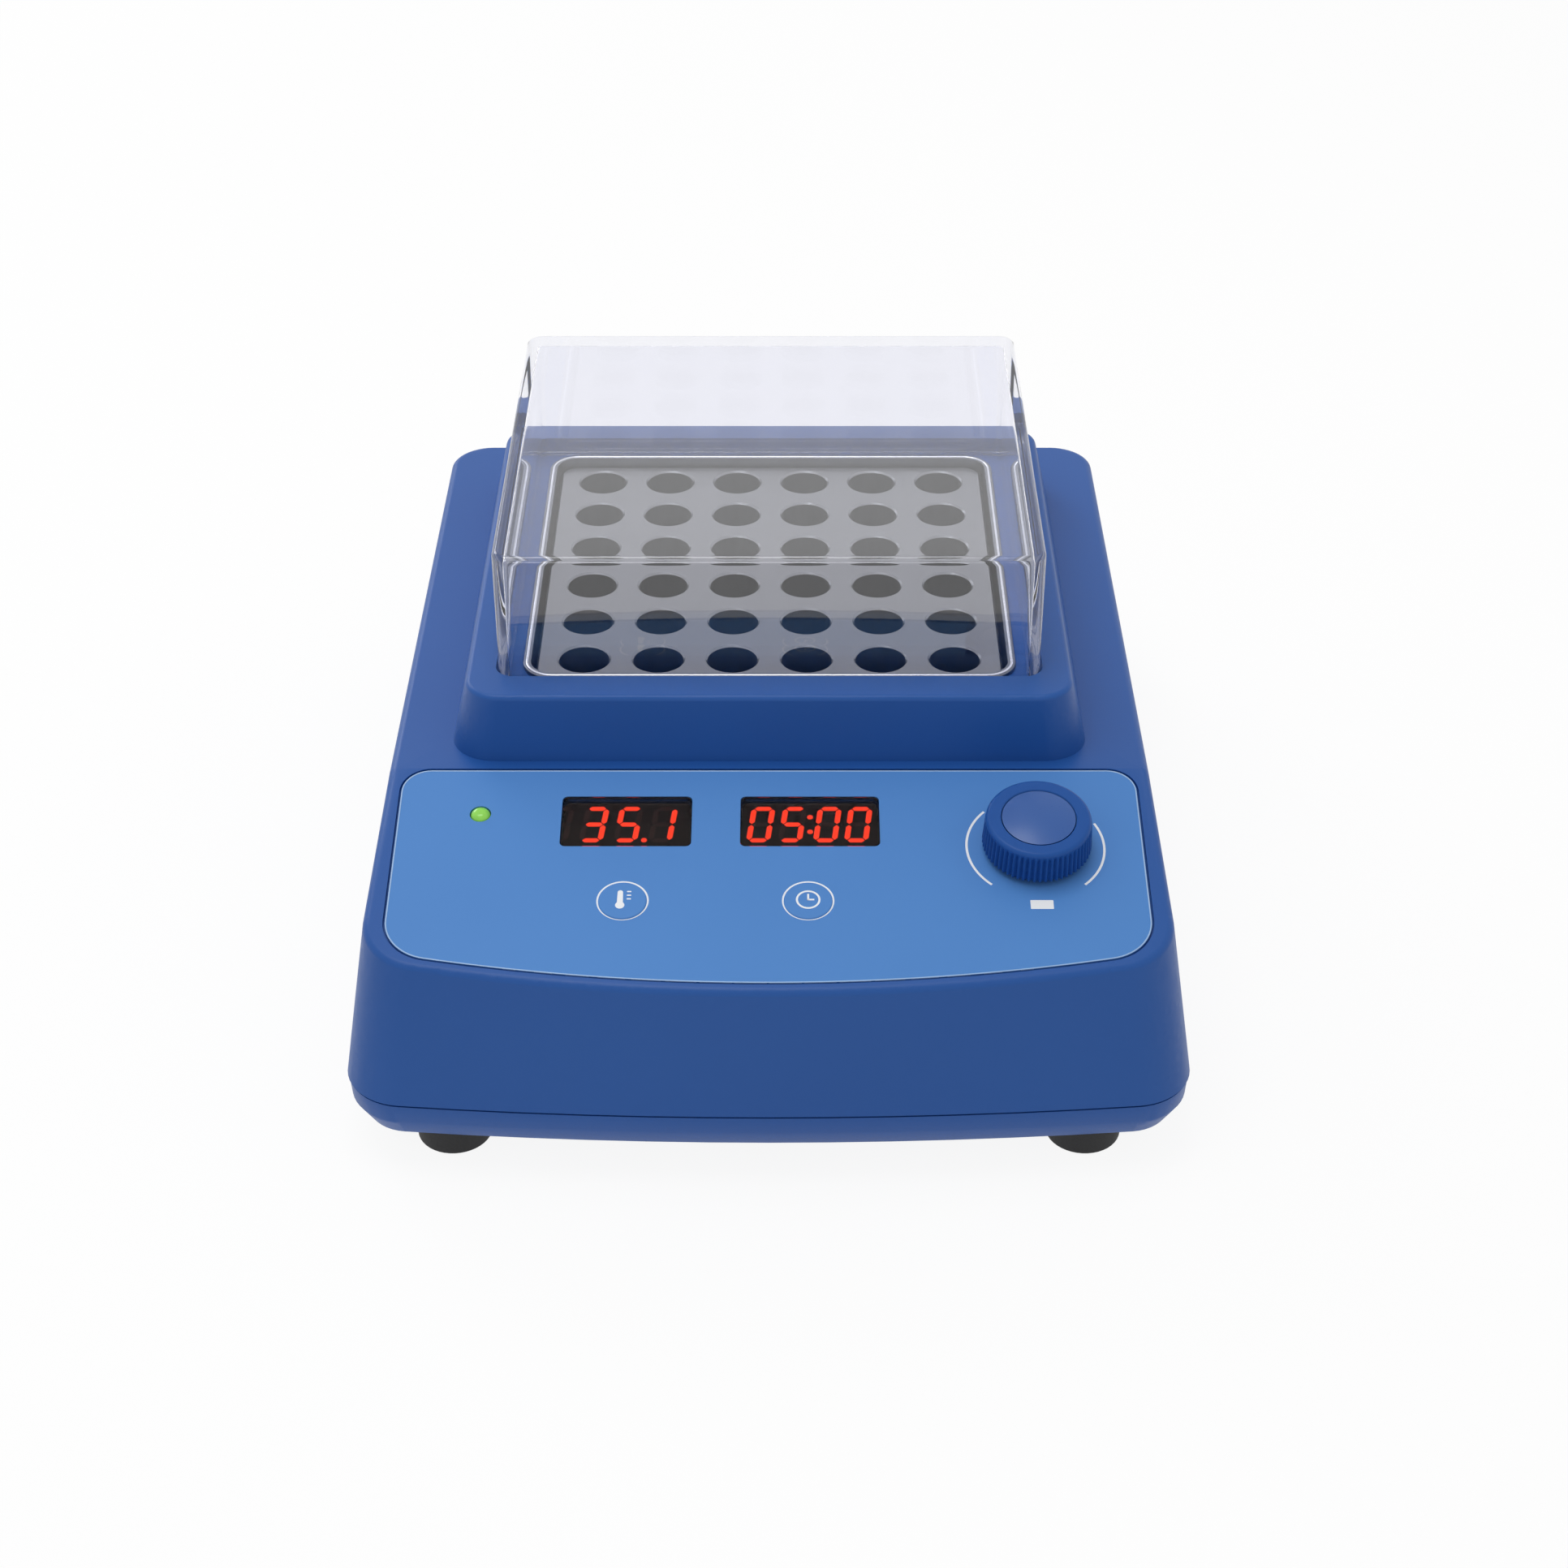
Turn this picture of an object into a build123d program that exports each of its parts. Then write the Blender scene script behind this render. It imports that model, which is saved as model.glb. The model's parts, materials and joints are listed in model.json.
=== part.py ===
from build123d import *
from math import cos, radians, tan
import os

os.makedirs("parts", exist_ok=True)

# All sizes in millimetres, X to the right, front at -Y, Z up from the level the feet stand on

# Heating block: its grid of wells sets the size of all that stands round it
WELL_ROWS = 6
WELL_PITCH = 16.2
WELL_RADIUS = 5.5  # takes 1.5 ml tubes
WELL_STRAIGHT = 22.0
WELL_DEPTH = 33.0
WELL_TIP_RADIUS = 2.2
WELL_CHAMFER = 0.4
WELL_SPREAD = (WELL_ROWS - 1) / 2 * WELL_PITCH  # from the middle to the outer wells
BLOCK_MARGIN_X = 10.3  # from the outer wells' centres to the block's sides
BLOCK_MARGIN_Y = 7.9
BLOCK_HALF_X = WELL_SPREAD + BLOCK_MARGIN_X
BLOCK_HALF_Y = WELL_SPREAD + BLOCK_MARGIN_Y
BLOCK_HEIGHT = 37.6
BLOCK_CORNER = 4.0
BLOCK_EDGE = 0.5

# Heater stack, from the cradle up to the ledge that the lid stands on
CRADLE_Z = 19.0
CRADLE_SHEET = 1.5
INSULATION_THICKNESS = 6.0
MAT_THICKNESS = 1.5
PLATE_THICKNESS = 6.0
CRADLE_TOP = CRADLE_Z + CRADLE_SHEET
MAT_Z = CRADLE_TOP + INSULATION_THICKNESS
PLATE_Z = MAT_Z + MAT_THICKNESS
BLOCK_BOTTOM = PLATE_Z + PLATE_THICKNESS
BLOCK_TOP = BLOCK_BOTTOM + BLOCK_HEIGHT
LEDGE_RISE = 0.8  # ledge above the block
LEDGE_Z = BLOCK_TOP + LEDGE_RISE
LEDGE_THICKNESS = 2.4
LID_SEAT = 3.6  # how deep the lid stands in the collar
COLLAR_Z = LEDGE_Z + LID_SEAT
COLLAR_RISE = 15.7
DECK_Z = COLLAR_Z - COLLAR_RISE  # flat top behind the panel

# Lid
LID_MARGIN_X = 7.35  # from the block's side to the lid's outside
LID_MARGIN_Y = 6.25
LID_HALF_X = BLOCK_HALF_X + LID_MARGIN_X
LID_HALF_Y = BLOCK_HALF_Y + LID_MARGIN_Y
LID_HEIGHT = 32.1
LID_TOP = LEDGE_Z + LID_HEIGHT
LID_WALL = 2.3
LID_CORNER = 3.5
LID_INNER_CORNER = 1.8
LID_EDGE_RADIUS = 1.1
LID_CLEARANCE = 0.55

# Collar: its recess takes the lid, and its walls lean in towards the top
RECESS_HALF_X = LID_HALF_X + LID_CLEARANCE
RECESS_HALF_Y = LID_HALF_Y + LID_CLEARANCE
COLLAR_SIDE = 9.7  # from the recess to the collar's outside, at its foot
COLLAR_FRONT = 9.1
COLLAR_BACK = 10.4
COLLAR_SIDE_LEAN = 3.7
COLLAR_FRONT_LEAN = 0.8
COLLAR_BACK_LEAN = 3.0
COLLAR_CORNER = 9.5
COLLAR_TOP_CORNER = 7.5
COLLAR_EDGE_RADIUS = 1.2

# Case: the collar, the panel in front of it and the deck round it make its size
PANEL_RUN = 63.5  # from the front of the case back to the crease of the deck
CREASE_STEP = 2.8  # from the crease to the collar
REAR_RUN = 21.8  # from the collar to the back of the case
DECK_SIDE = 12.45  # from the collar's foot to the deck's side
CASE_FLARE = 6.65  # how far each side leans out on its way down
DECK_FRONT_LEAN = 3.6
DECK_BACK_LEAN = 4.4
DECK_WIDTH = 2 * (RECESS_HALF_X + COLLAR_SIDE + DECK_SIDE)
CASE_WIDTH = DECK_WIDTH + 2 * CASE_FLARE
CASE_DEPTH = PANEL_RUN + CREASE_STEP + COLLAR_FRONT + 2 * RECESS_HALF_Y + COLLAR_BACK + REAR_RUN
CASE_FRONT = -CASE_DEPTH / 2
CASE_BACK = CASE_DEPTH / 2
DECK_BACK = CASE_BACK - DECK_BACK_LEAN
DECK_FRONT = CASE_FRONT + DECK_FRONT_LEAN  # where the front wall would meet the height of the deck
KINK_Y = CASE_FRONT + PANEL_RUN  # where the deck turns down into the panel
CENTRE_Y = KINK_Y + CREASE_STEP + COLLAR_FRONT + RECESS_HALF_Y  # centre of the block and the lid
CASE_EDGE_Z = 17.2  # lower edge of the housing, above the parting groove
EDGE_BOW = 4.8  # how far the front curves back at its ends, at the lower edge
DECK_BOW = 10.0
FRONT_CORNER = 13.0
REAR_CORNER = 10.0
WALL = 2.6
CREST_RADIUS = 1.8  # rounding along the top edges
FIT_GAP = 0.2  # between mouldings that sit inside each other
RIB = 1.6  # thickness of the housing's ribs
RIB_RISE = 4.0  # foot of the ribs above the housing's lower edge

# Panel: the slope in front of the collar, with its own axes (x, up the slope, out of the panel)
PANEL_TILT = 12.0
PANEL_WALL = 3.3
OVERLAY_SIDE = 3.05  # from the overlay's side to the deck's side
OVERLAY_FRONT = 3.7
OVERLAY_HALF = DECK_WIDTH / 2 - OVERLAY_SIDE
OVERLAY_TOP = -0.6
OVERLAY_BOTTOM = OVERLAY_FRONT - PANEL_RUN
OVERLAY_BOW = 8.0
OVERLAY_TOP_RADIUS = 6.0
OVERLAY_LOW_RADIUS = 10.5
OVERLAY_DEPTH = 0.8
OVERLAY_SINK = 0.1  # overlay face below the housing face
OVERLAY_SEAM = 0.45  # open joint round the overlay
OVERLAY_FLOOR = -OVERLAY_DEPTH - OVERLAY_SINK

# Liner: the metal tray round the block
LINER_GAP = 1.0
LINER_SHEET = 0.8
LINER_RIM = 1.7  # width of the rim that shows
LINER_RIM_HEIGHT = 1.0
LINER_RIM_RADIUS = 0.35
LINER_RISE = 0.6  # its lower edge above the block's underside
LINER_BOTTOM = BLOCK_BOTTOM + LINER_RISE
LINER_HALF_X = BLOCK_HALF_X + LINER_GAP + LINER_SHEET
LINER_HALF_Y = BLOCK_HALF_Y + LINER_GAP + LINER_SHEET
LINER_CORNER = BLOCK_CORNER + LINER_GAP + LINER_SHEET

# Cradle, insulation, heater and probe
CRADLE_MARGIN_X = 12.2
CRADLE_MARGIN_Y = 5.8
CRADLE_HALF_X = BLOCK_HALF_X + CRADLE_MARGIN_X
CRADLE_HALF_Y = BLOCK_HALF_Y + CRADLE_MARGIN_Y
CRADLE_CORNER = 4.0
PILLAR_INSET_X = 3.6  # from the cradle's edges to its pillars
PILLAR_INSET_Y = 8.2
CRADLE_PILLAR = (CRADLE_HALF_X - PILLAR_INSET_X, CRADLE_HALF_Y - PILLAR_INSET_Y)
SLEEVE_THICKNESS = 3.5
SLEEVE_GAP = 0.1
SLEEVE_CORNER = 6.0
SLEEVE_DROP = 4.0  # its top below the ledge's underside
SLEEVE_TOP = LEDGE_Z - LEDGE_THICKNESS - SLEEVE_DROP
HEATER_SCREW_INSET_X = 10.8
HEATER_SCREW_INSET_Y = 10.4
HEATER_SCREW_SPOT = (BLOCK_HALF_X - HEATER_SCREW_INSET_X, BLOCK_HALF_Y - HEATER_SCREW_INSET_Y)
HEATER_SCREW_RADIUS = 1.5
HEATER_HEAD_RADIUS = 2.8
HEATER_HEAD = 2.4
HEATER_HEAD_SINK = 0.6
HEATER_SCREW_TAIL = 3.0
SPACER_RADIUS = 3.2
HOLE_GAP = 0.3  # round a screw, a spacer or a rod that passes through
MAT_INSET = 1.0
CUTOUT_RADIUS = 7.0
CUTOUT_CAP = 6.5
CUTOUT_HEIGHT = 9.0
CUTOUT_BLADE = (0.8, 4.8, 6.0)  # thickness, width, length
CUTOUT_BLADE_X = 3.0
CUTOUT_WINDOW = CUTOUT_RADIUS + 1.0
PROBE_RADIUS = 1.6
PROBE_LENGTH = 26.0
PROBE_TAIL = 7.0  # how far it stands out behind the block
EARTH_RADIUS = 1.5
EARTH_NUT = 2.75
EARTH_NUT_HEIGHT = 2.4
EARTH_STUD_HEIGHT = 7.0
EARTH_TAIL = 2.0
EARTH_STEP = 1.3
EARTH_SPOT = (PILLAR_INSET_X / 2 + EARTH_STEP - CRADLE_HALF_X, CENTRE_Y)

# Base pan: insets are from the housing's lower edge
BASE_TOP_Z = 16.6
BASE_SHOULDER_Z = 12.4
BASE_BOTTOM_Z = 7.3
BASE_TOP_INSET = 0.3
BASE_SHOULDER_INSET = 0.6
BASE_BOTTOM_INSET = 3.6
BASE_FLOOR = 2.5
BASE_FLOOR_Z = BASE_BOTTOM_Z + BASE_FLOOR
BASE_WALL = 2.2
BASE_RIB = 1.5
BASE_RIB_HEIGHT = 3.5
BASE_RIB_TOP = BASE_FLOOR_Z + BASE_RIB_HEIGHT
BASE_RIB_SIDE = 11.0  # from the case's sides to the long ribs
BASE_RIB_FRONT = 5.5  # cross rib behind the crease of the deck
BASE_RIB_BACK = 25.0  # cross rib in front of the back
TONGUE_HEIGHT = 2.6
TONGUE_THICKNESS = 1.4
TONGUE_TAPER = 0.45
VENT_WIDTH = 3.0
VENT_LENGTH = 30.0
VENT_RADIUS = 1.4
VENT_PITCH = 7.0
VENT_COLUMNS = 13
VENT_ROW_Y = 21.0  # rows of vents before and behind the block's centre

# Feet and the screws that join the case
FOOT_RADIUS = 8.4
FOOT_LOW_RADIUS = 7.8
FOOT_EDGE_RADIUS = 0.8
FOOT_SIDE = 21.4  # from the case's sides to the feet
FOOT_FRONT = 16.0
FOOT_BACK = 18.0
FOOT_X = CASE_WIDTH / 2 - FOOT_SIDE
FOOT_FRONT_Y = CASE_FRONT + FOOT_FRONT
FOOT_BACK_Y = CASE_BACK - FOOT_BACK
FOOT_HOLE = 3.4
FOOT_HOLE_DEPTH = 3.6
FOOT_SCREW_HEAD = 3.0
FOOT_SCREW_Z = 2.0
CASE_SCREW_SIDE = 16.0  # from the case's sides, front and back to the long screws
CASE_SCREW_END = 33.0
CASE_SCREW_X = CASE_WIDTH / 2 - CASE_SCREW_SIDE
CASE_SCREW_RADIUS = 1.5
CASE_SCREW_HEAD = 2.9
CASE_SCREW_HEAD_HEIGHT = 2.0
CASE_SCREW_Z = 11.0  # underside of its sunk head
CASE_SCREW_LENGTH = 20.0
CASE_SCREW_BORE = 35.2  # top of the bore in the housing's bosses
BOSS_RADIUS = 4.0
BOSS_FOOT_Z = 17.9  # where the housing's bosses stand on the base's pillars
SMALL_SCREW_RADIUS = 1.1
SMALL_HEAD_RADIUS = 2.2
SMALL_HEAD = 1.5
SMALL_SCREW_LENGTH = 7.0

# Display windows: x, up the slope, width, height
TEMPERATURE_WINDOW = (-29.85, -15.45, 27.1, 14.1)
TIMER_WINDOW = (8.6, -15.45, 28.9, 14.1)
WINDOW_RADIUS = 1.2
LENS_LIP = 1.0
LENS_LIP_DEPTH = 1.0
LENS_SINK = 0.15
MODULE_GAP = 0.3
MODULE_FACE = -2.2

# Keys and lamp on the panel
TEMPERATURE_KEY = (-29.8, -38.0)
TIME_KEY = (8.1, -38.0)
KEY_RADIUS = 5.0
KEY_GAP = 0.15
KEY_PROUD = 0.25
KEY_EDGE_RADIUS = 0.3
KEY_TRAVEL = 0.4
KEY_FLANGE = 6.3
KEY_FLANGE_TOP = -PANEL_WALL - 0.3
KEY_BOTTOM = -4.5
SWITCH_SIDE = 6.2
SWITCH_TOP = -6.4
STEM_RADIUS = 1.7
STEM_DEPTH = 1.2  # how deep a key's stem stands in its switch
RUNNING_GAP = 0.05
LAMP_SPOT = (-60.6, -13.4)
LAMP_RADIUS = 2.1
LAMP_FLANGE = 2.6
LAMP_FLANGE_HEIGHT = 1.2
LAMP_FOOT = -7.5
LAMP_TOP = 0.6
LAMP_DOME = 1.5
SPACER_BORE = 1.2

# Knob and encoder
KNOB_SPOT = (55.6, -22.6)
KNOB_RADIUS = 11.2
KNOB_CROWN = 1.0  # how far the crown leans in, and its height
KNOB_CROWN_HEIGHT = 1.4
KNOB_LEAN = 0.2
KNOB_BULGE = 0.4
KNOB_SKIRT_RADIUS = 11.8
KNOB_SKIRT_HEIGHT = 1.2
KNOB_TOP = 8.6
KNOB_FOOT = 0.9
KNOB_WALL = 1.6
KNOB_CEILING = 4.6
KNOB_HUB_WALL = 1.8
KNOB_HUB_FOOT = 3.2
KNOB_FLUTES = 60
FLUTE_RADIUS = 0.4
FLUTE_OFFSET = 0.1
KNOB_TRAVEL = 0.5
CAP_RADIUS = 7.7
CAP_DEPTH = 1.2
CAP_DOME = 0.5
SHAFT_RADIUS = 3.0
SHAFT_FLAT = 1.5
BUSHING_RADIUS = 3.5
BUSHING_GAP = 0.1
BUSHING_TOP = 2.5
NUT_RADIUS = 5.0
NUT_HEIGHT = 1.8
ENCODER_SIDE = 12.6
PLUNGER_TOP = -6.0
PLUNGER_HEIGHT = 1.2
PLUNGER_GAP = 0.3

# Control board, behind the panel
BOARD_TOP = -10.5
BOARD_THICKNESS = 1.6
BOARD_CORNER = 2.0
BOARD_SIDE = 13.3  # from the overlay's sides to the board's
BOARD_LOW = 9.3  # from the overlay's lower edge to the board's
BOARD_HIGH = 4.5
BOARD_HALF = OVERLAY_HALF - BOARD_SIDE
BOARD_RANGE = (OVERLAY_BOTTOM + BOARD_LOW, -BOARD_HIGH)
BOARD_LEFT_INSETS = (13.5, 6.5)  # upper and lower screw, from the board's left side
BOARD_RIGHT_INSETS = (28.5, 18.5)
BOARD_UPPER_SCREWS = (-8.0, -9.0)  # left and right, up the slope
BOARD_LOW_INSET = 4.5
BOARD_LOWER_SCREWS = BOARD_RANGE[0] + BOARD_LOW_INSET
BOARD_SPOTS = [
    (BOARD_LEFT_INSETS[0] - BOARD_HALF, BOARD_UPPER_SCREWS[0]),
    (BOARD_HALF - BOARD_RIGHT_INSETS[0], BOARD_UPPER_SCREWS[1]),
    (BOARD_LEFT_INSETS[1] - BOARD_HALF, BOARD_LOWER_SCREWS),
    (BOARD_HALF - BOARD_RIGHT_INSETS[1], BOARD_LOWER_SCREWS),
]
BOARD_BOSS = 2.8
BOARD_BORE = 1.0  # how far the screws' bores run into the panel's back
CHIPS = [(-20, -30, 10, 10, 1.4), (12, -28, 8, 5, 1.6), (-40, -26, 8, 5, 1.6), (30, -42, 16, 5.5, 6.5)]

# Power board, on the base: its parts' places are from its centre
POWER_BOARD_X = -20.0
POWER_BOARD_FRONT = 17.0  # from the front of the case
POWER_BOARD_SIZE = (92.0, 48.0)
POWER_BOARD_CORNER = 1.5
POWER_BOARD_Z = 14.0
POWER_BOARD_INSET = 4.0
TRANSFORMER = (-26.0, -1.0, 24.0, 22.0, 17.0)  # place, width, depth, height
CAPACITOR = (-4.0, -9.0, 4.5, 13.0)  # place, radius, height
CAPACITOR_PITCH = 11.0
SINK = (14.0, 8.0, 26.0, 4.0, 14.0)
SINK_FINS = 5
FIN_PITCH = 6.0
FIN_SIZE = (1.4, 4.0)
FIN_Y = 3.5
TERMINALS = (33.0, 0.0, 8.0, 24.0, 10.0)

# Rear panel: the pocket is set out from the inlet
REAR_SINK = 0.4  # pocket's floor in front of the deck's back edge
REAR_PLANE_Y = DECK_BACK - REAR_SINK
INLET_X = -22.0
INLET_Z = 38.0
SWITCH_X = 27.0
POCKET_LEFT = 32.0
POCKET_RIGHT = 17.0  # from the switch
POCKET_LOW = 17.5
POCKET_HIGH = 18.0
REAR_POCKET = (INLET_X - POCKET_LEFT, SWITCH_X + POCKET_RIGHT, INLET_Z - POCKET_LOW, INLET_Z + POCKET_HIGH)
INLET_FLANGE = (50.0, 33.0, 3.0)
INLET_FLANGE_RADIUS = 2.0
INLET_BODY = (28.6, 30.4, 24.0)
SOCKET_RISE = 5.4
SOCKET_SIZE = (24.4, 16.4, 16.5)
SOCKET_CHAMFER = 4.0
PIN_PITCH = 7.0
PIN_RISE = 2.0
PIN_SIZE = (2.0, 4.0)
PIN_SINK = 4.0
PIN_TAIL = 3.4
PIN_SLOT_TAIL = 2.5
DRAWER_DROP = 10.4
DRAWER_Z = INLET_Z - DRAWER_DROP
DRAWER_END = 1.5  # from the fuse's ends to the drawer's sides
FUSE_RADIUS = 2.5
FUSE_LENGTH = 20.0
DRAWER_SIZE = (FUSE_LENGTH + 2 * DRAWER_END, 9.2, 17.0)
DRAWER_FACE = (25.4, 10.8, 1.2)
DRAWER_BACK_GAP = 1.0
INLET_SCREW_PITCH = 20.0
INLET_SCREW_RISE = 5.0
INLET_SCREW_RADIUS = 1.6
INLET_SCREW_HEAD = 2.8
INLET_SCREW_HEAD_HEIGHT = 1.4
INLET_SCREW_TAIL = 5.0
FUSE_FLOOR = 2.0
FUSE_SPOT = 7.0  # behind the inlet's face
FUSE_GAP = 0.6
SWITCH_FLANGE = (15.0, 21.0, 1.6)
SWITCH_FLANGE_RADIUS = 1.5
SWITCH_BODY = (12.8, 18.8, 15.0)
SWITCH_BAY = 11.0
BAY_GAP = 0.6
ROCKER_WIDTH = 10.2
ROCKER_RADIUS = 8.3
ROCKER_FRONT = 4.0
ROCKER_BACK = 5.0
ROCKER_TILT = 10.0
ROCKER_SINK = 1.6
ROCKER_PIVOT = (SWITCH_X, REAR_PLANE_Y - ROCKER_SINK, INLET_Z)
ROCKER_PIN = 1.2
ROCKER_PIN_END = 0.8
ROCKER_HOLE_END = 0.6


def disc(radius, bottom, top):
    """A cylinder about Z between two heights."""
    return Pos(0, 0, (bottom + top) / 2) * Cylinder(radius, top - bottom)


def ring(outer, inner, bottom, top):
    """A tube about Z between two heights."""
    return disc(outer, bottom, top) - disc(inner, bottom, top)


def block(width, depth, bottom, top):
    """A box about Z between two heights."""
    return Pos(0, 0, (bottom + top) / 2) * Box(width, depth, top - bottom)


def slab(width, depth, radius, bottom, top):
    """A box with rounded upright corners between two heights."""
    return Pos(0, 0, bottom) * extrude(RectangleRounded(width, depth, radius), top - bottom)


def panel(x, up, out=0.0):
    """A place on the sloping panel: across, up the slope and out of it."""
    return Location((0, KINK_Y, DECK_Z), (PANEL_TILT, 0, 0)) * Pos(x, up, out)


def rear(x, z):
    """A place on the rear panel, with its own Z pointing out of the case and Y up."""
    return Location((x, REAR_PLANE_Y, z), (-90, 0, 0)) * Rot(0, 0, 180)


def four(x, y, centre_y=0.0):
    """The four corner spots at +-x and centre_y +-y."""
    return [Pos(sx * x, centre_y + sy * y, 0) for sx in (-1, 1) for sy in (-1, 1)]


def bowed_face(half, back, front, bow, front_radius, back_radius):
    """A plan outline whose front edge curves back towards its ends."""
    side = front + bow
    right, left = (half, side), (-half, side)
    edges = Polyline(right, (half, back), (-half, back), left)
    edges += ThreePointArc(left, (0, front), right)
    face = make_face(edges)
    face = fillet(face.vertices().group_by(Axis.Y)[0], front_radius)
    return fillet(face.vertices().group_by(Axis.Y)[-1], back_radius)


def along(z, low, high):
    """A size of the case at height z, from its values at the lower edge and at the deck."""
    return low + (high - low) * (z - CASE_EDGE_Z) / (DECK_Z - CASE_EDGE_Z)


def case_outline(z, inset=0.0):
    """The outline of the tapered case at height z."""
    full = along(z, CASE_WIDTH, DECK_WIDTH) / 2
    half = full - inset
    back = along(z, CASE_BACK, DECK_BACK) - inset
    front = along(z, CASE_FRONT, DECK_FRONT) + inset
    bow = along(z, EDGE_BOW, DECK_BOW) * (half / full) ** 2
    return bowed_face(half, back, front, bow, FRONT_CORNER - inset, REAR_CORNER - inset)


def case_block(bottom, top, inset=0.0):
    """The tapered case between two heights."""
    return loft([Pos(0, 0, z) * case_outline(z, inset) for z in (bottom, top)], ruled=True)


def base_block(sections):
    """The base between heights, each with its inset from the housing's lower edge."""
    return loft([Pos(0, 0, z) * case_outline(CASE_EDGE_Z, inset) for z, inset in sections], ruled=True)


def collar_outline(z, inset=0.0):
    """The outline of the raised collar at height z."""
    share = (z - DECK_Z) / (COLLAR_Z - DECK_Z)
    half = RECESS_HALF_X + COLLAR_SIDE - COLLAR_SIDE_LEAN * share
    front = CENTRE_Y - RECESS_HALF_Y - COLLAR_FRONT + COLLAR_FRONT_LEAN * share
    back = CENTRE_Y + RECESS_HALF_Y + COLLAR_BACK - COLLAR_BACK_LEAN * share
    corner = COLLAR_CORNER + (COLLAR_TOP_CORNER - COLLAR_CORNER) * share
    depth = back - front - 2 * inset
    return Pos(0, (front + back) / 2) * RectangleRounded(2 * (half - inset), depth, corner - inset)


def collar_block(bottom, top, inset=0.0):
    """The collar between two heights."""
    return loft([Pos(0, 0, z) * collar_outline(z, inset) for z in (bottom, top)], ruled=True)


def above_panel(out):
    """Everything above the panel's plane, moved out of the panel by a distance."""
    reach = CASE_DEPTH
    return panel(0, 0, out) * block(2 * reach, 2 * reach, 0, reach)


def overlay_face(grow=0.0):
    """The outline of the control overlay, grown on all sides."""
    low = OVERLAY_LOW_RADIUS + grow
    face = (OVERLAY_HALF + grow, OVERLAY_TOP + grow, OVERLAY_BOTTOM - grow, OVERLAY_BOW)
    return bowed_face(*face, low, OVERLAY_TOP_RADIUS + grow)


def crest_edges(solid):
    """The outer edges of the deck and the panel, without the crease between them."""
    tops = [f for f in solid.faces() if f.normal_at().Z > cos(radians(PANEL_TILT)) - 0.01]
    edges = ShapeList(e for f in tops for e in f.edges())
    return edges.filter_by(lambda e: abs(e.center().X) + abs(e.center().Y - KINK_Y) > 1)


def outer_case():
    """The housing's outside, without its hollow."""
    case = case_block(CASE_EDGE_Z, DECK_Z) - above_panel(0)
    case = fillet(crest_edges(case), CREST_RADIUS)
    collar = collar_block(DECK_Z - WALL, COLLAR_Z)
    top = collar.faces().sort_by(Axis.Z)[-1]
    return case + fillet(top.edges(), COLLAR_EDGE_RADIUS)


def panel_openings():
    """What is cut through the panel: overlay pocket, windows, keys, lamp and encoder."""
    cuts = panel(0, 0, OVERLAY_FLOOR) * extrude(overlay_face(OVERLAY_SEAM), OVERLAY_DEPTH * 2)
    for x, up, width, height in (TEMPERATURE_WINDOW, TIMER_WINDOW):
        lip = 2 * (LENS_LIP + FIT_GAP)
        step = slab(width + lip, height + lip, WINDOW_RADIUS, OVERLAY_FLOOR - LENS_LIP_DEPTH, 0)
        cuts += panel(x, up) * (step + slab(width, height, WINDOW_RADIUS, -2 * PANEL_WALL, 0))
    for spot in (TEMPERATURE_KEY, TIME_KEY):
        cuts += panel(*spot) * disc(KEY_RADIUS + KEY_GAP, -2 * PANEL_WALL, 0)
    cuts += panel(*LAMP_SPOT) * disc(LAMP_RADIUS + KEY_GAP, -2 * PANEL_WALL, 0)
    return cuts + panel(*KNOB_SPOT) * disc(BUSHING_RADIUS + BUSHING_GAP, -2 * PANEL_WALL, 0)


def rear_pocket(y, grow=0.0):
    """A box about the flat pocket that the inlet and the switch sit in, centred at a depth."""
    left, right, low, high = REAR_POCKET
    place = Pos((left + right) / 2, y, (low + high) / 2)
    return place * Box(right - left + grow, 2 * WALL, high - low + grow)


def inlet_screw_spots():
    """Where the two screws of the inlet sit."""
    return [rear(INLET_X + s * INLET_SCREW_PITCH, INLET_Z + INLET_SCREW_RISE) for s in (-1, 1)]


def rear_openings():
    """The rear pocket with its cut-outs for the inlet and the switch."""
    cuts = rear_pocket(REAR_PLANE_Y + WALL)
    gap = 2 * FIT_GAP
    for x, (width, height, _) in ((INLET_X, INLET_BODY), (SWITCH_X, SWITCH_BODY)):
        cuts += rear(x, INLET_Z) * block(width + gap, height + gap, -2 * WALL, WALL)
    for place in inlet_screw_spots():
        cuts += place * disc(INLET_SCREW_RADIUS, -2 * WALL, 0)
    return cuts


def housing_hollow():
    """The housing's inside, with its bosses, ribs and the thicker wall behind the rear pocket left out."""
    hollow = case_block(CASE_EDGE_Z - 1, DECK_Z - WALL, WALL) - above_panel(-PANEL_WALL)
    hollow += collar_block(DECK_Z - 2 * WALL, LEDGE_Z - LEDGE_THICKNESS, WALL)
    tongue_top = BASE_TOP_Z + TONGUE_HEIGHT + FIT_GAP
    hollow -= rear_pocket(REAR_PLANE_Y, 2 * WALL) & block(CASE_WIDTH, 2 * CASE_DEPTH, tongue_top, COLLAR_Z)
    for x, y in case_screw_spots():
        hollow -= Pos(x, y, 0) * disc(BOSS_RADIUS, BOSS_FOOT_Z, DECK_Z)
        hollow -= housing_rib(x, y)
    for x, up in BOARD_SPOTS:
        hollow -= panel(x, up) * disc(BOARD_BOSS, BOARD_TOP, 0)
    return hollow


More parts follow.
